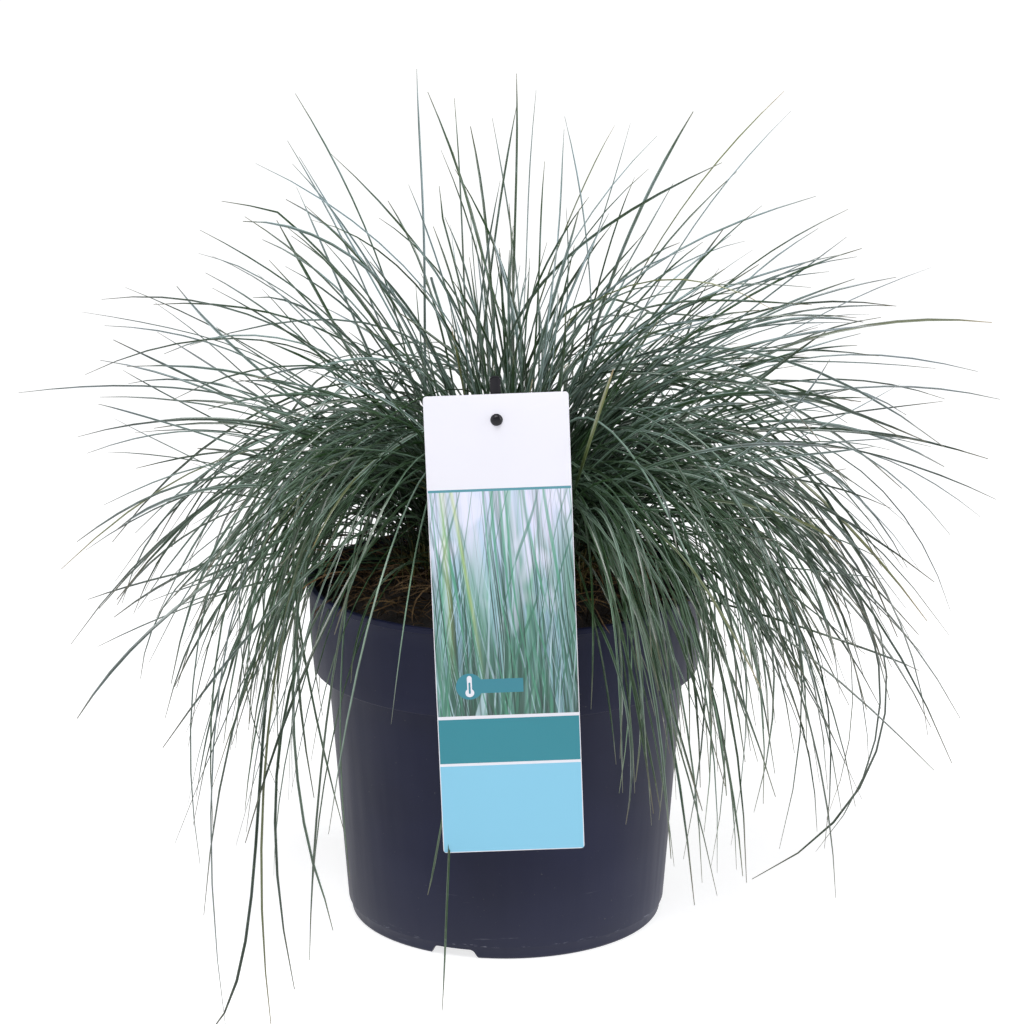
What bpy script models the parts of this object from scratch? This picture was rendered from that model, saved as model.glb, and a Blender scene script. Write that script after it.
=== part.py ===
"""Potted blue fescue clump, in metres, +Z up.

A round nursery pot with a stepped rim band, the compost in it, the crown of the plant,
its foliage as separate tufts that arch out of the crown, and a hanging label card on a
plastic stake. The origin is on the pot's axis, on the surface that the pot stands on.
Azimuths are counted from +X towards +Y, so the label hangs at -90 degrees.
"""

import math

import bmesh
import bpy
from mathutils import Matrix, Vector

MM = 0.001
GAP = 0.3 * MM  # left between pieces that touch

# Pot: a 19 cm round container
RIM_RADIUS = 95.0 * MM
POT_HEIGHT = 167.0 * MM
BAND_HEIGHT = 42.5 * MM
BAND_FOOT_RADIUS = 92.7 * MM
BODY_TOP_RADIUS = 85.9 * MM
BODY_FOOT_RADIUS = 77.0 * MM
FOOT_RADIUS = 75.4 * MM
PARTING_LINE_HEIGHT = 6.6 * MM
WALL = 1.4 * MM
RECESS_HEIGHT = 5.2 * MM
FLOOR_THICKNESS = 1.6 * MM
FOOT_RING_WIDTH = 3.4 * MM
POT_STEPS = 48

DRAIN_RADIUS = 4.5 * MM
DRAIN_RING_RADIUS = 60.0 * MM
DRAIN_COUNT = 8
NOTCH_COUNT = 3
NOTCH_WIDTH = 25.0 * MM
NOTCH_HEIGHT = 4.6 * MM
NOTCH_AZIMUTH = -109.0

# Compost and crown: height at the axis, and how far the surface falls to the radius
SOIL_MIDDLE = 160.0 * MM
SOIL_FALL = 6.0 * MM
CROWN_RADIUS = 75.0 * MM
CROWN_MIDDLE = 173.0 * MM
CROWN_EDGE_THICKNESS = 2.0 * MM
DOME_RINGS = 3

# Label card and its stake
CARD_WIDTH = 65.0 * MM
CARD_LENGTH = 216.0 * MM
CARD_THICKNESS = 0.6 * MM
CARD_CORNER = 1.6 * MM
CARD_BACK_Y = -100.0 * MM
CARD_TOP = 280.0 * MM
CARD_TURN = math.radians(2.2)
HOLE_RADIUS = 2.8 * MM
HOLE_DROP = 11.8 * MM
HOLE_X = -3.9 * MM
STAKE_WIDTH = 4.8 * MM
STAKE_THICKNESS = 2.6 * MM
STAKE_TOP = 287.5 * MM
STAKE_BOTTOM = 98.0 * MM
STAKE_LEAN = math.radians(5.7)
STAKE_POINT_LENGTH = 18.0 * MM
PIN_RADIUS = 2.5 * MM
PIN_PROUD = 1.6 * MM

# Foliage tufts
TUFT_SEGMENTS = 10
TUFT_SIDES = 6
ROOT_WIDTH = 0.62  # of a tuft's widest half width
TIP_WIDTH = 0.09


def clear_scene():
    for item in list(bpy.data.objects):
        bpy.data.objects.remove(item, do_unlink=True)


def make_material(name, colour, roughness):
    material = bpy.data.materials.new(name)
    material.use_nodes = True
    shader = material.node_tree.nodes["Principled BSDF"]
    shader.inputs["Base Color"].default_value = (*colour, 1.0)
    shader.inputs["Roughness"].default_value = roughness
    shader.inputs["Metallic"].default_value = 0.0
    material.diffuse_color = (*colour, 1.0)
    return material


def make_object(name, data, material=None):
    item = bpy.data.objects.new(name, data)
    bpy.context.scene.collection.objects.link(item)
    if material:
        data.materials.append(material)
    return item


def mesh_from(bm, name):
    bmesh.ops.recalc_face_normals(bm, faces=bm.faces)
    mesh = bpy.data.meshes.new(name)
    bm.to_mesh(mesh)
    bm.free()
    mesh.shade_smooth()
    mesh.set_sharp_from_angle(angle=math.radians(35))
    return mesh


def turned(name, profile, steps=POT_STEPS):
    """A solid of revolution about Z from (radius, height) points that start and end at Z."""
    bm = bmesh.new()
    points = [bm.verts.new((radius, 0.0, height)) for radius, height in profile]
    edges = [bm.edges.new(pair) for pair in zip(points, points[1:])]
    bmesh.ops.spin(
        bm,
        geom=points + edges,
        cent=(0, 0, 0),
        axis=(0, 0, 1),
        angle=math.tau,
        steps=steps,
        use_merge=True,
    )
    bmesh.ops.remove_doubles(bm, verts=bm.verts, dist=0.01 * MM)
    bmesh.ops.dissolve_degenerate(bm, edges=bm.edges, dist=0.01 * MM)
    return mesh_from(bm, name)


def at_azimuth(radius, azimuth, height=0.0):
    angle = math.radians(azimuth)
    return Vector((radius * math.cos(angle), radius * math.sin(angle), height))


def add_cutter(name, mesh, target, operation="DIFFERENCE"):
    """Joins a helper solid to the target, or takes it away."""
    cutter = make_object(name, mesh)
    cutter.hide_render = True
    cutter.display_type = "WIRE"
    modifier = target.modifiers.new(name, "BOOLEAN")
    modifier.operation = operation
    modifier.solver = "EXACT"
    modifier.object = cutter
    return cutter


# ---------------------------------------------------------------- pot


def pot_inside():
    """The pot's inner wall as (radius, height) points, from the rim down to the floor."""
    step_height = POT_HEIGHT - BAND_HEIGHT
    floor_top = RECESS_HEIGHT + FLOOR_THICKNESS
    return [
        (RIM_RADIUS - 2.0 * WALL, POT_HEIGHT - 1.0 * MM),
        (BAND_FOOT_RADIUS - WALL, step_height + WALL),
        (BODY_TOP_RADIUS - WALL, step_height - WALL),
        (BODY_FOOT_RADIUS - WALL, floor_top + 2.0 * MM),
        (BODY_FOOT_RADIUS - WALL - 2.0 * MM, floor_top),
    ]


def pot_outside():
    """The pot's underside and outer wall, from the axis to the top of the rim."""
    step_height = POT_HEIGHT - BAND_HEIGHT
    foot_inner = FOOT_RADIUS - FOOT_RING_WIDTH
    foot = [
        (0.0, RECESS_HEIGHT),
        (foot_inner - 1.0 * MM, RECESS_HEIGHT),
        (foot_inner, 0.0),
        (FOOT_RADIUS - 2.0 * MM, 0.0),
        (FOOT_RADIUS - 0.6 * MM, 0.7 * MM),
        (FOOT_RADIUS, 2.2 * MM),
    ]
    body = [
        (BODY_FOOT_RADIUS - 0.6 * MM, PARTING_LINE_HEIGHT),
        (BODY_FOOT_RADIUS, PARTING_LINE_HEIGHT + 0.4 * MM),
        (BODY_TOP_RADIUS, step_height - 0.4 * MM),
        (BODY_TOP_RADIUS + 0.4 * MM, step_height),
    ]
    band = [
        (BAND_FOOT_RADIUS - 0.5 * MM, step_height),
        (BAND_FOOT_RADIUS, step_height + 0.6 * MM),
        (RIM_RADIUS - 0.5 * MM, POT_HEIGHT - 3.6 * MM),
        (RIM_RADIUS, POT_HEIGHT - 2.8 * MM),
        (RIM_RADIUS, POT_HEIGHT - 0.7 * MM),
        (RIM_RADIUS - 0.7 * MM, POT_HEIGHT),
        (RIM_RADIUS - 1.6 * MM, POT_HEIGHT),
    ]
    return foot + body + band


def drain_holes():
    bm = bmesh.new()
    depth = RECESS_HEIGHT + FLOOR_THICKNESS + 8 * MM
    for index in range(DRAIN_COUNT):
        centre = at_azimuth(DRAIN_RING_RADIUS, index * 360 / DRAIN_COUNT, depth / 2)
        bmesh.ops.create_cone(
            bm,
            cap_ends=True,
            segments=16,
            radius1=DRAIN_RADIUS,
            radius2=DRAIN_RADIUS,
            depth=depth,
            matrix=Matrix.Translation(centre),
        )
    return mesh_from(bm, "drain_holes")


def foot_notches():
    """Blocks with sloping ends that open the foot ring, so water can run out."""
    bm = bmesh.new()
    for index in range(NOTCH_COUNT):
        azimuth = NOTCH_AZIMUTH + index * 360 / NOTCH_COUNT
        made = bmesh.ops.create_cube(bm, size=1.0)["verts"]
        for vert in made:
            side = vert.co.y * 2
            top = vert.co.z > 0
            half_width = NOTCH_WIDTH / 2 - (3.0 * MM if top else 0.0)
            vert.co.x = FOOT_RADIUS - 2.0 * MM + vert.co.x * 20 * MM
            vert.co.y = side * half_width
            vert.co.z = NOTCH_HEIGHT if top else -1.0 * MM
        turn = Matrix.Rotation(math.radians(azimuth), 4, "Z")
        bmesh.ops.transform(bm, matrix=turn, verts=made)
    return mesh_from(bm, "foot_notches")


def make_pot():
    floor = [(0.0, RECESS_HEIGHT + FLOOR_THICKNESS)]
    mesh = turned("pot", pot_outside() + pot_inside() + floor)
    plastic = make_material("anthracite_plastic", (0.035, 0.037, 0.062), 0.42)
    pot = make_object("pot", mesh, plastic)
    add_cutter("drain_holes", drain_holes(), pot)
    add_cutter("foot_notches", foot_notches(), pot)


# ---------------------------------------------------------------- compost and crown


def soil_height(radius):
    return SOIL_MIDDLE - SOIL_FALL * (radius / RIM_RADIUS) ** 2


def crown_height(radius):
    edge = soil_height(CROWN_RADIUS) + GAP + CROWN_EDGE_THICKNESS
    return CROWN_MIDDLE - (CROWN_MIDDLE - edge) * (radius / CROWN_RADIUS) ** 2


def make_soil():
    rim, band_foot, *rest = pot_inside()
    edge_height = soil_height(RIM_RADIUS)
    part_down = (rim[1] - edge_height) / (rim[1] - band_foot[1])
    edge_radius = rim[0] + part_down * (band_foot[0] - rim[0]) - GAP
    side = [(radius - GAP, height + GAP) for radius, height in [band_foot, *rest]]
    radii = [CROWN_RADIUS * step / DOME_RINGS for step in range(DOME_RINGS + 1)]
    top = [(radius, soil_height(radius)) for radius in radii]
    top.append((edge_radius, edge_height))
    floor = [(0.0, side[-1][1])]
    compost = make_material("potting_compost", (0.022, 0.014, 0.010), 0.95)
    soil = make_object("soil", turned("soil", top + side + floor), compost)
    add_cutter("stake_socket", stake_bar("stake_socket", GAP), soil)


def make_crown():
    radii = [CROWN_RADIUS * step / DOME_RINGS for step in range(DOME_RINGS + 1)]
    top = [(radius, crown_height(radius)) for radius in radii]
    under = [(radius, soil_height(radius) + GAP) for radius in reversed(radii)]
    thatch = make_material("dead_sheaths", (0.16, 0.10, 0.05), 0.9)
    make_object("crown", turned("crown", top + under), thatch)


# ---------------------------------------------------------------- label card and stake


def card_middle():
    """The card's centre, found from its hole, as it hangs turned about that hole."""
    hole_height = CARD_TOP - HOLE_DROP
    drop = CARD_LENGTH / 2 - HOLE_DROP
    x = HOLE_X + drop * math.sin(CARD_TURN)
    return Vector((x, CARD_BACK_Y - CARD_THICKNESS / 2, hole_height - drop * math.cos(CARD_TURN)))


def make_card():
    bm = bmesh.new()
    bmesh.ops.create_cube(bm, size=1.0)
    size = (CARD_WIDTH, CARD_THICKNESS, CARD_LENGTH)
    bmesh.ops.scale(bm, vec=size, verts=bm.verts)
    corners = [edge for edge in bm.edges if abs(edge.verts[0].co.y - edge.verts[1].co.y) > 0]
    bmesh.ops.bevel(
        bm,
        geom=corners,
        offset=CARD_CORNER,
        affect="EDGES",
        segments=4,
        profile=0.5,
        material=-1,
    )
    turn = Matrix.Rotation(-CARD_TURN, 4, "Y")
    place = Matrix.Translation(card_middle()) @ turn
    bmesh.ops.transform(bm, matrix=place, verts=bm.verts)
    print_stock = make_material("printed_card", (0.75, 0.78, 0.85), 0.35)
    card = make_object("label_card", mesh_from(bm, "label_card"), print_stock)

    hole = bmesh.new()
    centre = Vector((HOLE_X, CARD_BACK_Y, CARD_TOP - HOLE_DROP))
    place = Matrix.Translation(centre) @ Matrix.Rotation(math.pi / 2, 4, "X")
    bmesh.ops.create_cone(
        hole,
        cap_ends=True,
        segments=24,
        radius1=HOLE_RADIUS,
        radius2=HOLE_RADIUS,
        depth=6 * MM,
        matrix=place,
    )
    add_cutter("card_hole", mesh_from(hole, "card_hole"), card)


def stake_place():
    """Turns a stake that stands along Z so that its top ends behind the card."""
    top_y = CARD_BACK_Y + GAP + STAKE_THICKNESS / 2
    lean = Matrix.Rotation(STAKE_LEAN, 4, "X")
    turn = Matrix.Rotation(-CARD_TURN, 4, "Y")
    top_x = HOLE_X - (STAKE_TOP - CARD_TOP + HOLE_DROP) * math.tan(CARD_TURN)
    return Matrix.Translation((top_x, top_y, STAKE_TOP)) @ turn @ lean


def stake_bar(name, grow=0.0):
    """The stake's flat bar with a rounded top and a point, or its socket when it grows."""
    length = (STAKE_TOP - STAKE_BOTTOM) / math.cos(STAKE_LEAN)
    bm = bmesh.new()
    bmesh.ops.create_cube(bm, size=1.0)
    for vert in bm.verts:
        vert.co.x *= STAKE_WIDTH + 2 * grow
        vert.co.y *= STAKE_THICKNESS + 2 * grow
        vert.co.z = 0.0 if vert.co.z > 0 else -length + STAKE_POINT_LENGTH
    top = [e for e in bm.edges if all(v.co.z == 0 for v in e.verts)]
    ends = [e for e in top if abs(e.verts[0].co.y - e.verts[1].co.y) > 1 * MM]
    bmesh.ops.bevel(
        bm,
        geom=ends,
        offset=1.8 * MM,
        affect="EDGES",
        segments=4,
        profile=0.5,
        material=-1,
    )
    bottom = min(bm.faces, key=lambda face: face.calc_center_median().z)
    point = bmesh.ops.extrude_discrete_faces(bm, faces=[bottom])["faces"][0]
    middle = Vector((0, 0, -length - grow))
    for vert in point.verts:
        vert.co = middle + Vector((vert.co.x * 0.25, vert.co.y * 0.4, 0))
    bmesh.ops.transform(bm, matrix=stake_place(), verts=bm.verts)
    return mesh_from(bm, name)


def pin():
    """The round pin that stands out of the stake and carries the card."""
    start = CARD_BACK_Y + STAKE_THICKNESS + 0.6 * MM
    end = CARD_BACK_Y - CARD_THICKNESS - PIN_PROUD
    bm = bmesh.new()
    centre = Vector((HOLE_X, (start + end) / 2, CARD_TOP - HOLE_DROP))
    bmesh.ops.create_cone(
        bm,
        cap_ends=True,
        segments=20,
        radius1=PIN_RADIUS,
        radius2=PIN_RADIUS,
        depth=start - end,
    )
    front = [e for e in bm.edges if all(v.co.z > 0 for v in e.verts)]
    bmesh.ops.bevel(
        bm,
        geom=front,
        offset=0.9 * MM,
        affect="EDGES",
        segments=2,
        profile=0.5,
        material=-1,
    )
    place = Matrix.Translation(centre) @ Matrix.Rotation(math.pi / 2, 4, "X")
    bmesh.ops.transform(bm, matrix=place, verts=bm.verts)
    return mesh_from(bm, "pin")


def make_stake():
    plastic = make_material("black_plastic", (0.012, 0.012, 0.016), 0.5)
    stake = make_object("label_stake", stake_bar("label_stake"), plastic)
    add_cutter("pin", pin(), stake, "UNION")


# ---------------------------------------------------------------- foliage


def bezier(points, t):
    """A point on the cubic Bezier curve through four (radius, height) control points."""
    s = 1 - t
    weights = (s**3, 3 * s * s * t, 3 * s * t * t, t**3)
    radius = sum(weight * point[0] for weight, point in zip(weights, points))
    height = sum(weight * point[1] for weight, point in zip(weights, points))
    return radius, height


def half_width_at(t):
    """A tuft's half width along its length, as a part of its widest."""
    if t < 0.5:
        return ROOT_WIDTH + (1 - ROOT_WIDTH) * math.sin(math.pi * t)
    return TIP_WIDTH + (1 - TIP_WIDTH) * math.cos(math.pi * (t - 0.5)) ** 1.2


def make_tuft(index, azimuth, root, rise, shoulder, tip, half_width, material):
    """One bunch of blades as a tapered tube that arches out of the crown.

    root is its radius on the crown, rise the height of its upright start, and shoulder
    and tip are (radius, height), all in millimetres.
    """
    foot_radius = max(root * MM - half_width * ROOT_WIDTH * MM, 0.0)
    foot_height = (crown_height(foot_radius) + GAP) / MM
    control = [(root, foot_height), (root, foot_height + rise), shoulder, tip]
    curve = bpy.data.curves.new(f"tuft_{index:02d}", "CURVE")
    curve.dimensions = "3D"
    curve.bevel_depth = MM
    curve.bevel_resolution = (TUFT_SIDES - 4) // 2
    curve.use_fill_caps = True
    spline = curve.splines.new("POLY")
    spline.points.add(TUFT_SEGMENTS)
    for step, point in enumerate(spline.points):
        t = step / TUFT_SEGMENTS
        radius, height = bezier(control, t)
        point.co = (*at_azimuth(radius * MM, azimuth, height * MM), 1.0)
        point.radius = half_width * half_width_at(t)
    make_object(f"tuft_{index:02d}", curve, material)


# Azimuth of each hanging tuft, and its tip's radius and height in millimetres
SKIRT = (
    (-64, 150, 36),
    (-42, 146, 60),
    (-8, 150, 48),
    (26, 144, 70),
    (64, 150, 52),
    (100, 146, 66),
    (136, 150, 50),
    (172, 146, 64),
    (206, 152, 40),
    (238, 212, 5),
)


def tuft_plan():
    """Yields azimuth, root, rise, shoulder, tip and half width of every tuft."""
    yield 60, 0, 80, (5, 330), (10, 413), 6.0

    for step in range(6):
        shoulder, tip = ((48, 290), (122, 388)) if step % 3 == 0 else ((34, 300), (88, 398))
        yield 60 * step, 16, 70, shoulder, tip, 6.5

    for step in range(12):
        if step == 9:
            yield 30 * step, 34, 60, (58, 300), (104, 352), 7.0
        elif step % 2:
            yield 30 * step, 34, 75, (132, 300), (206, 226), 8.0
        else:
            yield 30 * step, 34, 75, (125, 318), (236, 292), 8.0

    for step in range(14):
        reach = 8 * math.sin(2.4 * step)
        yield -54 + 288 / 13 * step, 53, 58, (150, 282), (204 + reach, 108 - 2 * reach), 8.0

    for azimuth, radius, height in SKIRT:
        yield azimuth, 67, 48, (radius - 7, 236), (radius, height), 6.5


def make_foliage():
    leaf = make_material("fescue_leaf", (0.055, 0.105, 0.085), 0.5)
    for index, tuft in enumerate(tuft_plan()):
        make_tuft(index, *tuft, leaf)


def main():
    clear_scene()
    make_pot()
    make_soil()
    make_crown()
    make_card()
    make_stake()
    make_foliage()


main()
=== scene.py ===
"""Looks of a potted blue fescue clump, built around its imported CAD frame.

Every piece is made in metres in the frame's own coordinates: +Z up, the pot's axis on Z,
the label card at the front, towards -Y. Run as a script; the panel lists the same steps.
"""

import math
from functools import partial

import bmesh
import bpy
import numpy as np
from bpy.props import FloatProperty, FloatVectorProperty, IntProperty, PointerProperty
from mathutils import Matrix, Vector, noise


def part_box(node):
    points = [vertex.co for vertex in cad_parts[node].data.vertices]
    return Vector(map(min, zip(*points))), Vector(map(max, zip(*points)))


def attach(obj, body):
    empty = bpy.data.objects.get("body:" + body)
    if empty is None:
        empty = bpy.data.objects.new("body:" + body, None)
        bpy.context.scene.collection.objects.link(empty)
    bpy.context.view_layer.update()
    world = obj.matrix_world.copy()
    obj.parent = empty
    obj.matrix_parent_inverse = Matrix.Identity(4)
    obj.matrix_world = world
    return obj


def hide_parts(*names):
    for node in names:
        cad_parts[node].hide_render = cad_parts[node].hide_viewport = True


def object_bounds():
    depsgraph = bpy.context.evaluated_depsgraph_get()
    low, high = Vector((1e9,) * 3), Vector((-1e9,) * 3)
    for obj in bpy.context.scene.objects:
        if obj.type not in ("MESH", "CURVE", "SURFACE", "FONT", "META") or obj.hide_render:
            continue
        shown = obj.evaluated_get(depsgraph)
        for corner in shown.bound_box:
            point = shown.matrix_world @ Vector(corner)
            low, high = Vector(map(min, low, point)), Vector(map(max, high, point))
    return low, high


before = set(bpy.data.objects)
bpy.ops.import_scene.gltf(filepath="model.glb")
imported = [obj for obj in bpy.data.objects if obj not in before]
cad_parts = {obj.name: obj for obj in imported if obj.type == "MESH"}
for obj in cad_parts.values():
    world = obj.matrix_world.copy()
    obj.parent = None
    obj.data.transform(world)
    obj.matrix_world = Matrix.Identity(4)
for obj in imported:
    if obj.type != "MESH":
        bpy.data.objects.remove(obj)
CAD_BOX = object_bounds()

bl_info = {
    "name": "Potted fescue clump",
    "version": (1, 0, 0),
    "blender": (4, 5, 0),
    "location": "View3D > Sidebar > Fescue",
    "description": "Builds the blades, pot, compost and label of a potted blue fescue",
    "category": "Add Mesh",
}

MM = 0.001
BODY = "root"
UP = np.array((0.0, 0.0, 1.0))

# Read from the frame
POT_LOW, POT_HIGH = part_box("pot")
CARD_LOW, CARD_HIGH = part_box("label_card")
STAKE_LOW, STAKE_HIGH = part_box("label_stake")
CROWN_LOW, CROWN_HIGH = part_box("crown")
RIM_RADIUS = (POT_HIGH[0] - POT_LOW[0]) / 2
POT_HEIGHT = POT_HIGH[2]
CROWN_RADIUS = (CROWN_HIGH[0] - CROWN_LOW[0]) / 2
CROWN_MIDDLE = CROWN_HIGH[2]

# Pot, as the CAD has it
BAND_HEIGHT = 42.5 * MM
BAND_FOOT_RADIUS = 92.7 * MM
BODY_TOP_RADIUS = 85.9 * MM
BODY_FOOT_RADIUS = 77.0 * MM
FOOT_RADIUS = 75.4 * MM
PARTING_LINE = 6.6 * MM
WALL = 1.4 * MM
RECESS = 5.2 * MM
FLOOR = 1.6 * MM
FOOT_RING_WIDTH = 3.4 * MM
DRAIN_HOLES = 8
DRAIN_RADIUS = 4.5 * MM
DRAIN_RING = 60.0 * MM
NOTCHES = 3
NOTCH_WIDTH = 25.0 * MM
NOTCH_HEIGHT = 4.6 * MM
NOTCH_AZIMUTH = -109.0

# Compost and crown
SOIL_MIDDLE = 160.0 * MM
SOIL_FALL = 6.0 * MM

# Card and stake
CARD_TURN = math.radians(2.2)
CARD_WIDTH = 65.0 * MM
CARD_LENGTH = 216.0 * MM
CARD_THICKNESS = CARD_HIGH[1] - CARD_LOW[1]
CARD_CORNER = 1.6 * MM
CARD_TOP = 280.0 * MM
CARD_BACK_Y = CARD_HIGH[1]
HOLE_RADIUS = 2.8 * MM
HOLE_DROP = 11.8 * MM
HOLE_X = -3.9 * MM
STAKE_WIDTH = 4.8 * MM
STAKE_THICKNESS = 2.6 * MM
STAKE_TOP = STAKE_HIGH[2]
STAKE_BOTTOM = STAKE_LOW[2]
STAKE_LEAN = math.radians(5.7)
PIN_RADIUS = 2.5 * MM
PIN_PROUD = 1.6 * MM

# Foliage
SAMPLES = np.linspace(0, 1, 41)  # where a blade's curve is tested, root to tip
FOOT_SINK = 2.5 * MM  # a blade starts this far inside the crown
LONGEST_REACH = 235 * MM  # from the crown's middle to the tip of a scattered blade
ROOM_MARGIN = 8 * MM  # a curve may leave the CAD box by this much, as its end is cut back
CARD_MARGIN = 5 * MM
BEHIND_CARD_Y = -84 * MM  # blades may pass behind the card from here on
STAKE_MARGIN = 9 * MM
BEHIND_STAKE_Y = -78 * MM
PARTING_AZIMUTHS = (-158, -108)  # degrees
PARTING_RADII = (40 * MM, 125 * MM)
PARTING_TOP = 212 * MM
IN_PARTING_SHARE = 0.04  # of the blades that would hang through it
FOLDED_SHARE = 0.07  # of the blades are bent over sharply
AGED_SHARE = 0.025  # of the blades are turning yellow
THATCH_COUNT = 760
FIBRE_COUNT = 36
FIBRE_LIMIT = 88 * MM  # root fibres end inside this radius


# ---------------------------------------------------------------- settings


def hex_colour(text):
    """An sRGB hex value as linear red, green and blue."""
    values = [int(text[i : i + 2], 16) / 255 for i in (1, 3, 5)]
    return tuple(v / 12.92 if v <= 0.04045 else ((v + 0.055) / 1.055) ** 2.4 for v in values)


def colour_setting(name, description, value):
    return FloatVectorProperty(
        name=name,
        description=description,
        subtype="COLOR",
        size=3,
        min=0.0,
        max=1.0,
        default=hex_colour(value),
    )


def length_setting(name, description, value):
    return FloatProperty(
        name=name, description=description, subtype="DISTANCE", unit="LENGTH", default=value
    )


class PotSettings(bpy.types.PropertyGroup):
    plastic: colour_setting("Plastic", "Colour of the moulded pot", "#0e122b")
    steps: IntProperty(name="Steps", description="Facets round the pot", default=144, min=24)


class PlantSettings(bpy.types.PropertyGroup):
    blade_width: length_setting("Blade width", "Width of a blade at its middle", 1.2 * MM)
    # the waxy blue is reached from 190 mm up, where it also stands for painted reflection of the light
    # above
    bloom: colour_setting("Waxy blue", "Blue-grey of a blade with its waxy bloom", "#a3b6bc")
    green: colour_setting("Green", "Green of a blade where the bloom is rubbed off", "#28481f")
    # the deep green is painted shade, laid towards the blades' bases and in their folds
    shade: colour_setting("Deep green", "Darkest green of the blades", "#0b1c06")
    seed: IntProperty(name="Seed", description="Changes how the blades fall", default=11)


class SoilSettings(bpy.types.PropertyGroup):
    peat: colour_setting("Peat", "Colour of the wet compost", "#1d1410")
    bark: colour_setting("Bark", "Colour of the lighter bark in it", "#5a4028")
    thatch: colour_setting("Dead leaf", "Colour of the dead sheaths", "#6b5232")
    crumbs: IntProperty(name="Crumbs", description="Loose lumps on the surface", default=1400)


class LabelSettings(bpy.types.PropertyGroup):
    white: colour_setting("Card white", "Colour of the unprinted card", "#e2e1ea")
    teal: colour_setting("Teal band", "Colour of the upper printed band", "#208190")
    sky: colour_setting("Blue band", "Colour of the lower printed band", "#82c4e0")


class StageSettings(bpy.types.PropertyGroup):
    camera_distance: length_setting("Camera distance", "From the pot's axis along Y", 1.688)
    camera_height: length_setting("Camera height", "Above the floor", 0.651)
    camera_tilt: FloatProperty(
        name="Tilt", description="Downward tilt", subtype="ANGLE", default=math.radians(15.0)
    )
    lens: FloatProperty(name="Lens", description="Focal length", unit="CAMERA", default=128.6)


# ---------------------------------------------------------------- materials


def add_node(tree, kind, *values, output=0, **settings):
    """Adds a shader node and returns one of its outputs. Its open sockets take the values in
    order, each a constant, a hex colour or a socket to link from; settings name properties
    and sockets."""
    node = tree.nodes.new("ShaderNode" + kind)
    named = {name: value for name, value in settings.items() if name in node.inputs}
    for name in settings.keys() - named.keys():
        setattr(node, name, settings[name])
    pairs = list(zip([socket for socket in node.inputs if socket.enabled], values))
    pairs += [(node.inputs[name], value) for name, value in named.items()]
    for socket, value in pairs:
        if isinstance(value, bpy.types.NodeSocket):
            tree.links.new(value, socket)
        elif socket.type == "RGBA":
            colour = hex_colour(value) if isinstance(value, str) else value
            socket.default_value = (*colour, 1.0)
        else:
            socket.default_value = value
    if isinstance(output, str):
        return node.outputs[output]
    return [socket for socket in node.outputs if socket.enabled][output]


def new_material(name):
    """A new material, the function that adds nodes to it, and its shader."""
    material = bpy.data.materials.new(name)
    material.use_nodes = True
    tree = material.node_tree
    return material, partial(add_node, tree), tree.nodes["Principled BSDF"]


def feed(shader, socket, source):
    """Links a material's shader to the socket that drives one of its inputs."""
    shader.id_data.links.new(source, shader.inputs[socket])


def painted(add, colour, *coats):
    """A colour under coats laid on in order, each a mask and the ink it brings."""
    for mask, ink in coats:
        colour = add("Mix", mask, colour, ink, data_type="RGBA")
    return colour


def object_place(add, scale=(1, 1, 1)):
    """A piece's own coordinates in metres, squeezed or drawn out by scale."""
    return add("Mapping", add("TexCoord", output="Object"), Scale=scale)


def blade_data(add, *names):
    """What the blades carry: shade, place along and across, and age, each 0 to 1."""
    return [add("Attribute", output="Fac", attribute_name=name) for name in names]


def between(add, value, low, high):
    """1 where value lies between low and high, else 0."""
    above = add("Math", value, low, operation="GREATER_THAN")
    return add("Math", above, add("Math", value, high, operation="LESS_THAN"), operation="MULTIPLY")


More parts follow.
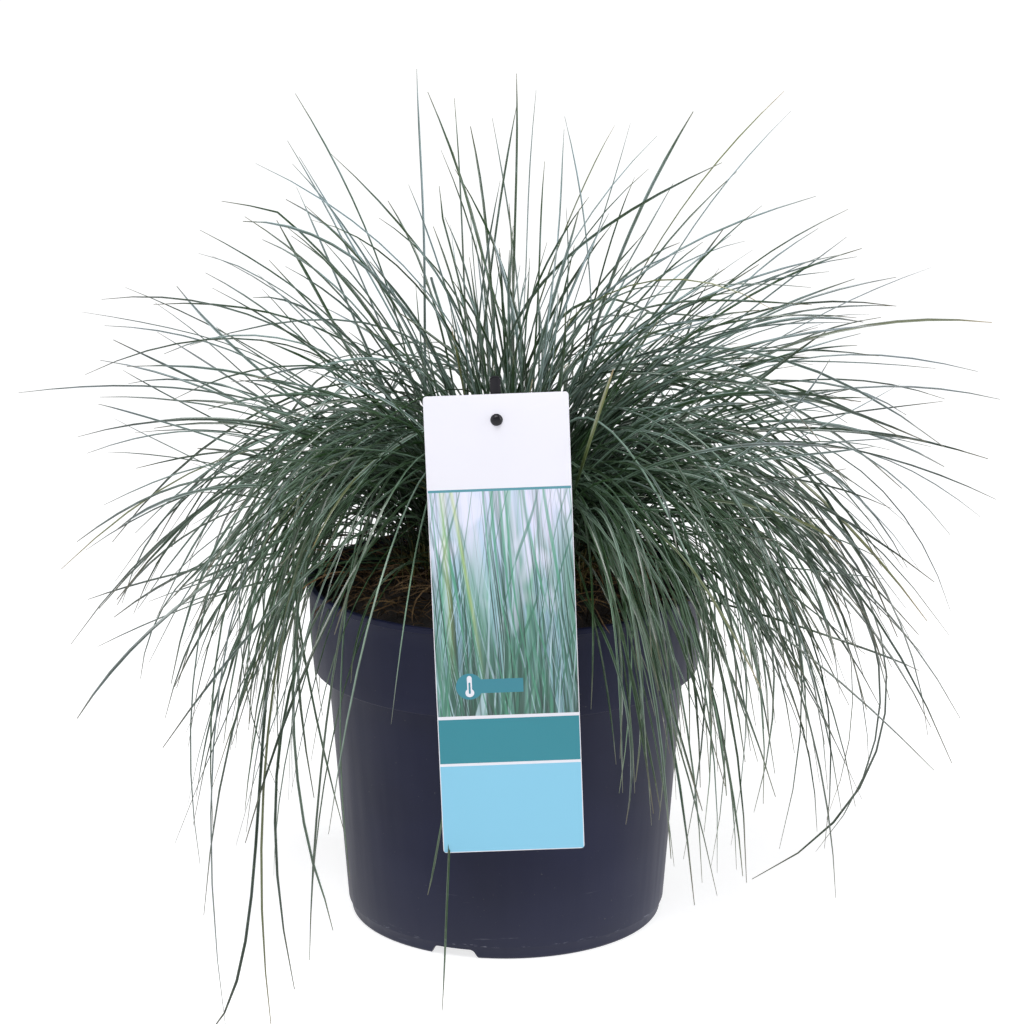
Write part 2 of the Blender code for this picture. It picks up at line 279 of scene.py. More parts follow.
def pot_plastic(settings):
    """Injection-moulded polypropylene, anthracite: a satin skin with a faint sheen, fine
    up-and-down flow lines, a little dust, and light scuffs low down where pots rub. Its
    lowest 50 mm are painted lighter towards the foot, a painted reflection of the pale floor."""
    material, add, shader = new_material("moulded_polypropylene")
    where = object_place(add)
    cloud = add("TexNoise", where, 1 / (60 * MM), 3.0)
    flow = add("TexNoise", object_place(add, (1, 1, 0.03)), 1 / (5 * MM), 2.0)
    dust = add("TexNoise", where, 1 / (1.6 * MM), 2.0, 0.7)
    scuffs = add("TexNoise", object_place(add, (0.2, 0.2, 2.2)), 1 / (6 * MM), 4.0, 0.7)
    scuffs = add("MapRange", scuffs, 0.66, 0.74)
    height = add("SeparateXYZ", where, output=2)
    low_down = add("MapRange", height, 45 * MM, 0.0)
    scuff = add("Math", scuffs, low_down, operation="MULTIPLY", use_clamp=True)
    worn = add("TexNoise", object_place(add, (1, 1, 6)), 1 / (9 * MM), 3.0, 0.75)
    seam = between(add, height, PARTING_LINE - 0.2 * MM, PARTING_LINE + 1.2 * MM)
    seam = add("Math", seam, add("MapRange", worn, 0.56, 0.64), operation="MULTIPLY", use_clamp=True)
    scuff = add("Math", scuff, add("Math", seam, 1.6, operation="MULTIPLY"), operation="MAXIMUM")
    lighter = tuple(1.35 * part + 0.002 for part in settings.plastic)
    colour = painted(
        add,
        settings.plastic,
        (add("MapRange", cloud, 0.3, 0.7), lighter),
        # painted reflection of the pale floor: the pot grows lighter over its lowest 50 mm
        (add("MapRange", height, 50 * MM, 0.0, 0.0, 0.1), "#6f7284"),
        (add("MapRange", dust, 0.72, 0.8, 0.0, 0.35), "#8a8578"),
        (add("Math", scuff, 0.3, operation="MULTIPLY"), "#8b8c98"),
    )
    feed(shader, "Base Color", colour)
    rough = add("MapRange", flow, 0.3, 0.7, 0.44, 0.52)
    rubbed = add("Math", scuff, 0.2, operation="MULTIPLY")
    feed(shader, "Roughness", add("Math", rough, rubbed, operation="ADD"))
    shader.inputs["IOR"].default_value = 1.49
    shader.inputs["Specular IOR Level"].default_value = 0.22
    grain = add("TexNoise", where, 1 / (0.7 * MM), 2.0)
    skin = add("Math", add("Math", flow, 0.6, operation="MULTIPLY"), grain, operation="ADD")
    feed(shader, "Normal", add("Bump", Height=skin, Distance=0.04 * MM, Strength=0.5))
    return material


def leaf_blade(settings):
    """Living fescue leaf, an inrolled needle: blue-grey with waxy bloom, green where the bloom
    is thin, paler and browner at the sheath, with a few straw-coloured tips. Painted light
    on it: more bloom and a bluer tone further up the clump, a painted highlight along each
    blade's edges, a greyer tone further out as a painted backlight, and painted shade
    towards the blade's base and in its fold."""
    material, add, shader = new_material("fescue_leaf_with_bloom")
    shade, along, across, age = blade_data(add, "shade", "along", "across", "age")
    where = object_place(add)
    patch = add("TexNoise", where, 1 / (14 * MM), 3.0, 0.6)
    fleck = add("TexNoise", where, 1 / (1.5 * MM), 2.0, 0.6)
    height = add("SeparateXYZ", where, output=2)
    patchy = add("MapRange", patch, 0.3, 0.7, -0.3, 0.25)
    # painted highlight along each blade's edges, with less bloom on its keel and in its groove
    edge_highlight = add("MapRange", across, 0.0, 1.0, -0.1, 0.15)
    # painted light from above: blades carry more bloom, so look paler, the further up they are
    lit_from_above = add("MapRange", height, 120 * MM, 290 * MM, 0.5, 1.0)
    # the bloom mask: bloom that differs at random by blade and in patches, plus painted highlight on
    # the edges and painted light further up
    bloom = add("Math", shade, 2.0, operation="POWER")
    bloom = add("Math", bloom, patchy, operation="ADD")
    bloom = add("Math", bloom, edge_highlight, operation="ADD", use_clamp=True)
    bloom = add("Math", bloom, lit_from_above, operation="MULTIPLY")
    outward = add("VectorMath", object_place(add, (1, 1, 0)), operation="LENGTH")
    # painted backlight: blades turn greyer further out, where the white surroundings light them from
    # behind
    outer_backlit = add("MapRange", outward, 105 * MM, 185 * MM)
    waxy = painted(
        add,
        "#8fb295",
        # painted reflection: from 190 mm up the bloom turns to the waxy blue, as the light above shows
        # on it
        (add("MapRange", height, 190 * MM, 320 * MM), settings.bloom),
        # painted backlight on the bloom: grey-blue further out
        (add("Math", outer_backlit, 0.8, operation="MULTIPLY"), "#9da3ad"),
    )
    # painted backlight on the green: dark grey further out
    green = painted(add, settings.green, (add("Math", outer_backlit, 0.7, operation="MULTIPLY"), "#353a3c"))
    far_half = add("MapRange", along, 0.45, 0.85)
    yellow = add("Math", age, far_half, operation="MULTIPLY", use_clamp=True)
    tip = add("MapRange", along, 0.93, 1.0)
    old = add("Math", age, 0.25, operation="ADD", use_clamp=True)
    tip = add("Math", old, tip, operation="MULTIPLY", use_clamp=True)
    colour = painted(
        add,
        green,
        (bloom, waxy),
        # painted shade: blades darken towards their base, deep inside the clump
        (add("MapRange", along, 0.12, 0.72, 1.0, 0.0), settings.shade),
        # painted shade in each blade's fold: its keel and groove darker than its edges
        (add("MapRange", across, 0.3, 0.65, 0.7, 0.0), settings.shade),
        (add("MapRange", fleck, 0.55, 0.8, 0.0, 0.25), "#7f9470"),
        (add("MapRange", along, 0.1, 0.02), "#8b8450"),
        (yellow, "#7c7f48"),
        (tip, "#a08a68"),
    )
    feed(shader, "Base Color", colour)
    feed(shader, "Roughness", add("MapRange", bloom, 0.0, 1.0, 0.3, 0.42))
    shader.inputs["IOR"].default_value = 1.45
    shader.inputs["Specular IOR Level"].default_value = 0.8
    return material


def dead_leaf(settings):
    """Dead fescue sheaths and blades, dried out: matt and fibrous, straw to rust brown, going
    almost black where they rot at the soil."""
    material, add, shader = new_material("dead_leaf_sheath")
    shade, along = blade_data(add, "shade", "along")
    patch = add("TexNoise", object_place(add), 1 / (7 * MM), 3.0, 0.6)
    colour = painted(
        add,
        "#2a1c12",
        (shade, settings.thatch),
        (add("MapRange", patch, 0.5, 0.75), "#8a7048"),
        (add("MapRange", along, 0.35, 0.0, 0.0, 0.8), "#20150d"),
    )
    feed(shader, "Base Color", colour)
    shader.inputs["Roughness"].default_value = 0.8
    return material


def compost(settings):
    """Moist peat and bark compost: near-black crumbs with rust-brown bark and pale fibres,
    matt, with a slight damp glint on the lumps."""
    material, add, shader = new_material("peat_and_bark_compost")
    where = object_place(add)
    lump = add("TexNoise", where, 1 / (5 * MM), 4.0, 0.65)
    fine = add("TexNoise", where, 1 / (0.9 * MM), 3.0, 0.7)
    patch = add("TexNoise", where, 1 / (18 * MM), 2.0)
    flakes = add("MapRange", fine, 0.56, 0.68)
    patches = add("MapRange", patch, 0.4, 0.6)
    bark = add("Math", flakes, patches, operation="MULTIPLY", use_clamp=True)
    peat = add("MapRange", lump, 0.35, 0.7)
    colour = painted(add, "#0f0a08", (peat, settings.peat), (bark, settings.bark))
    feed(shader, "Base Color", colour)
    feed(shader, "Roughness", add("MapRange", fine, 0.3, 0.7, 0.6, 0.95))
    crumbly = add("Math", lump, fine, operation="ADD")
    feed(shader, "Normal", add("Bump", Height=crumbly, Distance=0.8 * MM, Strength=0.8))
    return material


def stake_plastic():
    """Recycled black polypropylene, moulded: dull black with a soft sheen on its edges."""
    material, add, shader = new_material("black_polypropylene")
    where = object_place(add)
    cloud = add("TexNoise", where, 1 / (9 * MM), 3.0)
    colour = painted(add, "#0a090e", (add("MapRange", cloud, 0.3, 0.7), "#15131c"))
    feed(shader, "Base Color", colour)
    feed(shader, "Roughness", add("MapRange", cloud, 0.3, 0.7, 0.3, 0.42))
    shader.inputs["IOR"].default_value = 1.49
    shader.inputs["Specular IOR Level"].default_value = 0.35
    grain = add("TexNoise", where, 1 / (0.6 * MM), 2.0)
    feed(shader, "Normal", add("Bump", Height=grain, Distance=0.03 * MM, Strength=0.5))
    return material


def card_place(add):
    """Card coordinates: x from its middle, z up from its lower edge, both in metres."""
    middle_x, middle_z = card_middle()
    where = add("TexCoord", output="Object")
    centred = add("Mapping", where, Location=(-middle_x, 0, -middle_z))
    upright = add("Mapping", centred, Rotation=(0, CARD_TURN, 0))
    height = add("SeparateXYZ", upright, output=2)
    return add("SeparateXYZ", upright), add("Math", height, CARD_LENGTH / 2, operation="ADD")


def streaks(add, x, up, slope, width, low, high, seed, thin=0.0):
    """Soft upright streaks, as a picture of grass shows them: noise drawn out along lines
    that lean by slope and wander a little; width is in metres. They taper where thin grows."""
    wide = add("Math", x, 1 / (22 * MM), operation="MULTIPLY")
    tall = add("Math", up, 1 / (150 * MM), operation="MULTIPLY")
    wander = add("TexNoise", add("CombineXYZ", wide, tall, seed), 1.0, 0.0)
    wander = add("MapRange", wander, 0.0, 1.0, -9 * MM, 9 * MM)
    lean = add("Math", x, add("Math", up, slope, operation="MULTIPLY"), operation="ADD")
    lean = add("Math", lean, wander, operation="ADD")
    side = add("Math", lean, 1 / width, operation="MULTIPLY")
    run = add("Math", up, 1 / (110 * MM), operation="MULTIPLY")
    value = add("TexNoise", add("CombineXYZ", side, run, seed + 3.7), 1.0, 1.0, 0.4)
    return add("MapRange", add("Math", value, thin, operation="SUBTRACT"), low, high)


def capsule(add, x, up, bottom, top, radius):
    """1 inside an upright capsule on x = 0, else 0."""
    nearest = add("Math", add("Math", up, bottom, operation="MAXIMUM"), top, operation="MINIMUM")
    rest = add("Math", up, nearest, operation="SUBTRACT")
    across = add("Math", x, x, operation="MULTIPLY")
    square = add("Math", across, add("Math", rest, rest, operation="MULTIPLY"), operation="ADD")
    return add("Math", square, radius * radius, operation="LESS_THAN")


# Layers of the printed picture, back to front, behind and before its haze: lean, width in
# millimetres, where the streak starts and is full (0 to 1 of the noise), its strength at the
# top of the picture, and ink
FAR_LAYERS = (
    (0.02, 9.0, 0.42, 0.70, 0.30, "#8fbdb6"),
    (-0.08, 6.0, 0.44, 0.72, 0.25, "#74a69c"),
    (0.10, 5.0, 0.46, 0.72, 0.45, "#a3c6e2"),
    (0.04, 3.4, 0.47, 0.68, 0.40, "#5b917d"),
    (-0.10, 2.4, 0.52, 0.68, 0.55, "#79b39b"),
)
NEAR_LAYERS = (
    (0.16, 1.8, 0.51, 0.64, 0.50, "#41756b"),
    (-0.04, 1.2, 0.53, 0.64, 0.50, "#2f5f50"),
    (0.22, 1.1, 0.58, 0.68, 0.40, "#b4d3df"),
    (-0.20, 1.0, 0.56, 0.65, 0.65, "#3f7c68"),
    (0.07, 0.8, 0.56, 0.65, 0.35, "#1f4238"),
    (-0.11, 0.9, 0.60, 0.68, 0.30, "#bcd8e2"),
    (0.10, 1.3, 0.56, 0.66, 0.70, "#4f9a7d"),
)

# Two pale young blades in the picture: where they stand, in millimetres from the middle of
# its foot, their lean, half width and strength
YOUNG_BLADES = ((-8, -0.13, 1.3, 0.50), (-24, -0.02, 2.4, 0.35))


def grass_layers(add, picture, x, up, rise, layers, first):
    """The picture with layers of streaks over it, thinner and fainter towards its top."""
    thin = add("MapRange", rise, 0.3, 1.0, 0.0, 0.05)
    for seed, (slope, width, low, high, at_top, ink) in enumerate(layers, first):
        line = streaks(add, x, up, slope, width * MM, low, high, 5.3 * seed, thin)
        fade = add("MapRange", rise, 0.95, 0.5, at_top, 0.9)
        mask = add("Math", line, fade, operation="MULTIPLY", use_clamp=True)
        picture = painted(add, picture, (mask, ink))
    return picture


def young_blade(add, x, up, rise, foot, slope, half, strength):
    """The mask of one pale young blade of the picture, soft at its sides and its foot."""
    lean = add("Math", up, slope, operation="MULTIPLY")
    off = add("Math", add("Math", x, lean, operation="SUBTRACT"), foot * MM, operation="SUBTRACT")
    near = add("MapRange", add("Math", off, operation="ABSOLUTE"), half * MM, 0.0, 0.0, strength)
    return add("Math", near, add("MapRange", rise, 0.1, 0.5), operation="MULTIPLY", use_clamp=True)


def grass_picture(add, x, up, part):
    """The card's soft picture of upright grass: pale and hazy above, deep green below."""
    rise = add("MapRange", up, 30.5 * part, 79.5 * part)
    up_picture = add("Math", up, 30.5 * part, operation="SUBTRACT")
    picture = painted(
        add,
        "#183529",
        (add("MapRange", rise, 0.0, 0.55), "#568a92"),
        (add("MapRange", rise, 0.3, 0.8), "#dcd9f2"),
    )
    wide = add("Math", x, 1 / (13 * MM), operation="MULTIPLY")
    tall = add("Math", up, 1 / (19 * MM), operation="MULTIPLY")
    blur = add("TexNoise", add("CombineXYZ", wide, tall, 8.5), 1.0, 1.0)
    haze = add("MapRange", blur, 0.52, 0.66)
    upper = add("MapRange", rise, 0.25, 0.75, 0.0, 0.8)
    haze = add("Math", haze, upper, operation="MULTIPLY", use_clamp=True)
    picture = grass_layers(add, picture, x, up, rise, FAR_LAYERS, 0)
    picture = painted(add, picture, (haze, "#dfe0f4"))
    picture = grass_layers(add, picture, x, up, rise, NEAR_LAYERS, len(FAR_LAYERS))
    young = [young_blade(add, x, up_picture, rise, *blade) for blade in YOUNG_BLADES]
    gaps = streaks(add, x, up, 0.0, 2.2 * MM, 0.46, 0.62, 77.0)
    lower = add("MapRange", rise, 0.5, 0.0, 0.0, 0.8)
    return painted(
        add,
        picture,
        *[(mask, "#c9d878") for mask in young],
        (add("Math", gaps, lower, operation="MULTIPLY", use_clamp=True), "#263f3a"),
        (add("MapRange", rise, 0.75, 0.0, 0.0, 0.25), "#16342e"),
    )


def thermometer_badge(add, x, up, part):
    """The masks of the badge in the picture: its plate, its thermometer and the core."""
    x = add("Math", x, -17.2 * MM, operation="SUBTRACT")
    up = add("Math", up, 37.0 * part, operation="SUBTRACT")
    disc = capsule(add, x, up, 0.0, 0.0, 6.2 * MM)
    bar = between(add, x, 0.0, 24.5 * MM)
    bar = add("Math", bar, between(add, up, -3.3 * MM, 3.3 * MM), operation="MULTIPLY")
    tube = capsule(add, x, up, -3.0 * MM, 4.0 * MM, 1.1 * MM)
    bulb = capsule(add, x, up, -3.0 * MM, -3.0 * MM, 2.0 * MM)
    plate = add("Math", disc, bar, operation="MAXIMUM")
    core = capsule(add, x, up, -3.0 * MM, 1.5 * MM, 0.45 * MM)
    return plate, add("Math", tube, bulb, operation="MAXIMUM"), core


def printed_card(settings):
    """Printed polypropylene card under a clear varnish: blank white header, a soft picture
    of upright grass, and two plain bands. The ink lies flat, so only the gloss varies."""
    material, add, shader = new_material("printed_polypropylene_card")
    x, up = card_place(add)
    part = CARD_LENGTH / 100  # one hundredth of the card's length
    plate, thermometer, core = thermometer_badge(add, x, up, part)
    picture = painted(
        add,
        grass_picture(add, x, up, part),
        (plate, "#2c7f90"),
        (thermometer, settings.white),
        (core, "#2c7f90"),
    )
    printed = painted(
        add,
        settings.white,
        (between(add, up, 30.5 * part, 79.5 * part), picture),
        (between(add, up, 79.4 * part, 79.95 * part), "#4f8f9c"),
        (between(add, up, 20.0 * part, 29.8 * part), settings.teal),
        (add("Math", up, 19.4 * part, operation="LESS_THAN"), settings.sky),
    )
    inked = between(add, x, 0.35 * MM - CARD_WIDTH / 2, CARD_WIDTH / 2 - 0.35 * MM)
    above_edge = add("Math", up, 0.4 * MM, operation="GREATER_THAN")
    inked = add("Math", inked, above_edge, operation="MULTIPLY")
    feed(shader, "Base Color", painted(add, settings.white, (inked, printed)))
    smear = add("TexNoise", object_place(add), 1 / (30 * MM), 2.0)
    feed(shader, "Roughness", add("MapRange", smear, 0.3, 0.7, 0.3, 0.38))
    shader.inputs["IOR"].default_value = 1.49
    return material


def card_stock(settings):
    """The card's unprinted back and cut edges: white polypropylene, satin, faintly mottled."""
    material, add, shader = new_material("white_polypropylene_card")
    cloud = add("TexNoise", object_place(add), 1 / (25 * MM), 3.0)
    tinted = tuple(0.93 * part for part in settings.white)
    colour = painted(add, settings.white, (add("MapRange", cloud, 0.3, 0.7), tinted))
    feed(shader, "Base Color", colour)
    shader.inputs["Roughness"].default_value = 0.45
    shader.inputs["IOR"].default_value = 1.49
    return material


# ---------------------------------------------------------------- mesh helpers


def add_piece(name, mesh, materials, slot, *nodes):
    """Puts a finished mesh in the scene as a piece that rides on the plant's one body."""
    piece = bpy.data.objects.new(name, mesh)
    bpy.context.scene.collection.objects.link(piece)
    for material in materials:
        mesh.materials.append(material)
    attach(piece, BODY)
    if nodes:
        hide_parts(*nodes)
    return piece


def smooth(mesh, degrees=35):
    mesh.shade_smooth()
    mesh.set_sharp_from_angle(angle=math.radians(degrees))


def turned_bmesh(profile, steps):
    """A closed solid of revolution about Z, from (radius, height) points."""
    bm = bmesh.new()
    points = [bm.verts.new((radius, 0.0, height)) for radius, height in profile]
    edges = [bm.edges.new(pair) for pair in zip(points, points[1:])]
    bmesh.ops.spin(
        bm,
        geom=points + edges,
        cent=(0, 0, 0),
        axis=(0, 0, 1),
        angle=math.tau,
        steps=steps,
        use_merge=True,
    )
    bmesh.ops.remove_doubles(bm, verts=bm.verts, dist=0.005 * MM)
    bmesh.ops.dissolve_degenerate(bm, edges=bm.edges, dist=0.005 * MM)
    bmesh.ops.recalc_face_normals(bm, faces=bm.faces)
    return bm


def to_mesh(bm, name):
    mesh = bpy.data.meshes.new(name)
    bm.to_mesh(mesh)
    bm.free()
    return mesh


def cut(mesh, cutter, name):
    """The mesh with the cutter bmesh's solids taken away, by an exact Boolean."""
    tool = bpy.data.objects.new("cutter", to_mesh(cutter, "cutter"))
    body = bpy.data.objects.new("cut", mesh)
    for item in (tool, body):
        bpy.context.scene.collection.objects.link(item)
    modifier = body.modifiers.new("cut", "BOOLEAN")
    modifier.object = tool
    modifier.solver = "EXACT"
    graph = bpy.context.evaluated_depsgraph_get()
    result = bpy.data.meshes.new_from_object(body.evaluated_get(graph))
    result.name = name
    for item in (tool, body):
        bpy.data.objects.remove(item, do_unlink=True)
    return result


def bevel(bm, edges, offset, segments):
    return bmesh.ops.bevel(
        bm,
        geom=edges,
        offset=offset,
        affect="EDGES",
        segments=segments,
        profile=0.5,
        material=-1,
    )


def add_cylinder(bm, place, radius, depth, segments):
    bmesh.ops.create_cone(
        bm,
        cap_ends=True,
        segments=segments,
        radius1=radius,
        radius2=radius,
        depth=depth,
        matrix=place,
    )


def arc(centre, radius, start, end, steps):
    """Points (radius, height) on an arc in the profile plane, angles in degrees."""
    turns = [math.radians(start + (end - start) * step / steps) for step in range(steps + 1)]
    return [(centre[0] + radius * math.cos(t), centre[1] + radius * math.sin(t)) for t in turns]


def polar(radius, azimuth, height):
    """Points at a radius, azimuth and height, as an array with x, y and z last."""
    height = np.broadcast_to(height, np.broadcast(radius, azimuth).shape)
    return np.stack([radius * np.cos(azimuth), radius * np.sin(azimuth), height], axis=-1)


# ---------------------------------------------------------------- pot


def pot_profile():
    """The pot's section from the middle of its underside, up the outside and down inside."""
    step = POT_HEIGHT - BAND_HEIGHT
    floor_top = RECESS + FLOOR
    foot = [(0.0, RECESS), (FOOT_RADIUS - FOOT_RING_WIDTH - 1 * MM, RECESS)]
    foot += [(FOOT_RADIUS - FOOT_RING_WIDTH, 0.3 * MM), (FOOT_RADIUS - FOOT_RING_WIDTH + 0.4 * MM, 0.0)]
    foot += arc((FOOT_RADIUS - 2.2 * MM, 2.2 * MM), 2.2 * MM, -90, -5, 7)
    body = [
        (BODY_FOOT_RADIUS - 0.75 * MM, PARTING_LINE - 0.15 * MM),
        (BODY_FOOT_RADIUS - 0.60 * MM, PARTING_LINE + 0.05 * MM),
        (BODY_FOOT_RADIUS - 0.10 * MM, PARTING_LINE + 0.15 * MM),
        (BODY_FOOT_RADIUS, PARTING_LINE + 0.5 * MM),
    ]
    rows = 10
    for row in range(1, rows):
        part = row / rows
        height = PARTING_LINE + (step - PARTING_LINE) * part
        body.append((BODY_FOOT_RADIUS + (BODY_TOP_RADIUS - BODY_FOOT_RADIUS) * part, height))
    body += [(BODY_TOP_RADIUS, step - 0.9 * MM), (BODY_TOP_RADIUS + 0.15 * MM, step - 0.35 * MM)]
    body += [(BODY_TOP_RADIUS + 0.6 * MM, step - 0.05 * MM)]
    band = [(BAND_FOOT_RADIUS - 0.9 * MM, step)]
    band += arc((BAND_FOOT_RADIUS - 0.6 * MM, step + 0.6 * MM), 0.6 * MM, -75, 0, 3)
    for row in range(1, 5):
        part = row / 5
        height = step + (POT_HEIGHT - 3.6 * MM - step) * part
        band.append((BAND_FOOT_RADIUS + (RIM_RADIUS - 0.5 * MM - BAND_FOOT_RADIUS) * part, height))
    lip = [
        (RIM_RADIUS - 0.50 * MM, POT_HEIGHT - 3.3 * MM),
        (RIM_RADIUS - 0.35 * MM, POT_HEIGHT - 2.9 * MM),
        (RIM_RADIUS - 0.05 * MM, POT_HEIGHT - 2.7 * MM),
    ]
    lip += arc((RIM_RADIUS - 0.7 * MM, POT_HEIGHT - 0.7 * MM), 0.7 * MM, 0, 90, 4)
    lip += arc((RIM_RADIUS - 1.9 * MM, POT_HEIGHT - 0.7 * MM), 0.7 * MM, 90, 165, 3)
    inside = [
        (BAND_FOOT_RADIUS - WALL, step + WALL),
        (BODY_TOP_RADIUS - WALL, step - WALL),
        (BODY_FOOT_RADIUS - WALL, floor_top + 2 * MM),
        (BODY_FOOT_RADIUS - WALL - 2 * MM, floor_top),
        (0.0, floor_top),
    ]
    return foot + body + band + lip + inside


def drain_and_notch_cutter():
    """Solids that open the drain holes and the notches in the foot ring."""
    bm = bmesh.new()
    depth = RECESS + FLOOR + 8 * MM
    for index in range(DRAIN_HOLES):
        angle = index * math.tau / DRAIN_HOLES
        place = (DRAIN_RING * math.cos(angle), DRAIN_RING * math.sin(angle), depth / 2)
        add_cylinder(bm, Matrix.Translation(place), DRAIN_RADIUS, depth, 32)
    for index in range(NOTCHES):
        made = bmesh.ops.create_cube(bm, size=1.0)["verts"]
        for vert in made:
            top = vert.co.z > 0
            half = NOTCH_WIDTH / 2 - (3.0 * MM if top else 0.0)
            vert.co.x = FOOT_RADIUS - 2 * MM + vert.co.x * 20 * MM
            vert.co.y = math.copysign(half, vert.co.y)
            vert.co.z = NOTCH_HEIGHT if top else -1 * MM
        upper = [e for v in made for e in v.link_edges if all(w.co.z > 0 for w in e.verts)]
        along = [e for e in set(upper) if abs(e.verts[0].co.x - e.verts[1].co.x) > 1 * MM]
        rounded = bevel(bm, along, 1.6 * MM, 4)
        verts = {v for v in made if v.is_valid} | set(rounded["verts"])
        turn = Matrix.Rotation(math.radians(NOTCH_AZIMUTH + 360 / NOTCHES * index), 4, "Z")
        bmesh.ops.transform(bm, matrix=turn, verts=list(verts))
    return bm


class FESCUE_OT_pot(bpy.types.Operator):
    """Turn the stepped nursery pot and open its drain holes and foot notches"""

    bl_idname = "fescue.pot"
    bl_label = "Pot"

    def execute(self, context):
        settings = context.scene.fescue_pot
        solid = to_mesh(turned_bmesh(pot_profile(), settings.steps), "pot_solid")
        mesh = cut(solid, drain_and_notch_cutter(), "nursery_pot")
        smooth(mesh, 30)
        add_piece("nursery_pot", mesh, [pot_plastic(settings)], "pot_plastic", "pot")
        return {"FINISHED"}


# ---------------------------------------------------------------- compost and crown


def soil_height(radius):
    return SOIL_MIDDLE - SOIL_FALL * (radius / RIM_RADIUS) ** 2


def crown_height(radius):
    edge = soil_height(CROWN_RADIUS) + 2.3 * MM
    return CROWN_MIDDLE - (CROWN_MIDDLE - edge) * (radius / CROWN_RADIUS) ** 2


def soil_profile():
    step = POT_HEIGHT - BAND_HEIGHT
    gap = 0.3 * MM
    floor_top = RECESS + FLOOR + gap
    edge = BAND_FOOT_RADIUS - WALL + 0.5 * MM
    rows = 44
    top = [(edge * row / rows, soil_height(edge * row / rows)) for row in range(rows + 1)]
    return top + [
        (BAND_FOOT_RADIUS - WALL - gap, step + WALL + gap),
        (BODY_TOP_RADIUS - WALL - gap, step - WALL + gap),
        (BODY_FOOT_RADIUS - WALL - gap, floor_top + 2 * MM),
        (BODY_FOOT_RADIUS - WALL - 2 * MM - gap, floor_top),
        (0.0, floor_top),
    ]


def random_turns(rng, count):
    """Random rotation matrices, from unit quaternions."""
    q = rng.normal(size=(count, 4))
    q /= np.linalg.norm(q, axis=1, keepdims=True)
    w, x, y, z = q.T
    rows = (
        (1 - 2 * (y * y + z * z), 2 * (x * y - z * w), 2 * (x * z + y * w)),
        (2 * (x * y + z * w), 1 - 2 * (x * x + z * z), 2 * (y * z - x * w)),
        (2 * (x * z - y * w), 2 * (y * z + x * w), 1 - 2 * (x * x + y * y)),
    )
    return np.stack([np.stack(row, axis=1) for row in rows], axis=1)


def crumb_mesh(rng, count):
    """Loose lumps of peat and bark lying on the compost, as one joined mesh."""
    bm = bmesh.new()
    bmesh.ops.create_icosphere(bm, subdivisions=1, radius=0.5)
    base = np.array([tuple(v.co) for v in bm.verts])
    faces = np.array([[v.index for v in f.verts] for f in bm.faces])
    bm.free()
    size = (0.8 + 3.2 * rng.random(count) ** 3) * MM
    ranges = (0.7, 1.9), (0.7, 1.2), (0.35, 0.9)  # length, width and height of a lump
    stretch = np.stack([rng.uniform(low, high, count) for low, high in ranges], axis=1)
    radius = (RIM_RADIUS - 5 * MM) * np.sqrt(rng.uniform(0.1, 1.0, count))
    azimuth = rng.uniform(0, math.tau, count)
    shape = base[None] * (1 + 0.25 * rng.normal(size=(count, len(base), 1)))
    shape = shape * stretch[:, None] * size[:, None, None]
    shape = np.einsum("nij,nvj->nvi", random_turns(rng, count), shape)
    centre = polar(radius, azimuth, soil_height(radius) + 0.2 * size)
    verts = (shape + centre[:, None]).reshape(-1, 3)
    all_faces = (faces[None] + (np.arange(count) * len(base))[:, None, None]).reshape(-1, 3)
    mesh = bpy.data.meshes.new("compost_crumbs")
    mesh.from_pydata(verts.tolist(), [], all_faces.tolist())
    return mesh


class FESCUE_OT_compost(bpy.types.Operator):
    """Fill the pot with compost that has a lumpy top, loose crumbs and root fibres"""

    bl_idname = "fescue.compost"
    bl_label = "Compost"

    def execute(self, context):
        settings = context.scene.fescue_soil
        rng = np.random.default_rng(5)
        bm = turned_bmesh(soil_profile(), 128)
        for vert in bm.verts:
            radius = vert.co.xy.length
            if abs(vert.co.z - soil_height(radius)) < 0.01 * MM:
                lump = noise.noise(vert.co / (9 * MM)) + 0.6 * noise.noise(vert.co / (3.5 * MM))
                edge = min(1.0, (RIM_RADIUS - 3 * MM - radius) / (4 * MM))
                vert.co.z += 1.3 * MM * lump * max(0.0, edge)
        mesh = to_mesh(bm, "compost")
        mesh.shade_smooth()
        peat = compost(settings)
        add_piece("compost", mesh, [peat], "compost", "soil")
        add_piece("compost_crumbs", crumb_mesh(rng, settings.crumbs), [peat], "compost")

        count = FIBRE_COUNT
        azimuth = rng.uniform(0, math.tau, count)
        radius = rng.uniform(62, 86, count) * MM
        start = polar(radius, azimuth, soil_height(radius) + 0.5 * MM)
        heading = azimuth + rng.normal(1.6, 0.9, count) * rng.choice((-1, 1), count)
        length = rng.uniform(8, 30, count) * MM
        ends = start[:, :2] + np.stack([np.cos(heading), np.sin(heading)], 1) * length[:, None]
        reach = np.linalg.norm(ends, axis=1)
        ends *= (np.minimum(reach, FIBRE_LIMIT) / reach)[:, None]
        lift = rng.uniform(0.5, 5, count) * MM
        end = np.column_stack([ends, soil_height(np.minimum(reach, FIBRE_LIMIT)) + 0.8 * MM])
        one = start + (end - start) * 0.3 + UP * lift[:, None]
        two = start + (end - start) * 0.7 + UP * lift[:, None]
        two += rng.normal(0, 2 * MM, (count, 3)) * (1, 1, 0)
        control = np.stack([start, one, two, end], axis=1)
        fibres = Blades(rng, control, rng.uniform(0.25, 0.6, count) * MM, 8)
        add_piece("root_fibres", fibres.mesh("root_fibres"), [dead_leaf(settings)], "thatch")
        return {"FINISHED"}


# ---------------------------------------------------------------- blades


def bezier(control, t):
    """Points of cubic Bezier curves at each t: (curve, point, xyz)."""
    s = 1 - t
    weights = np.stack([s**3, 3 * s * s * t, 3 * s * t * t, t**3], 1)
    return np.einsum("tk,nkc->ntc", weights, control)


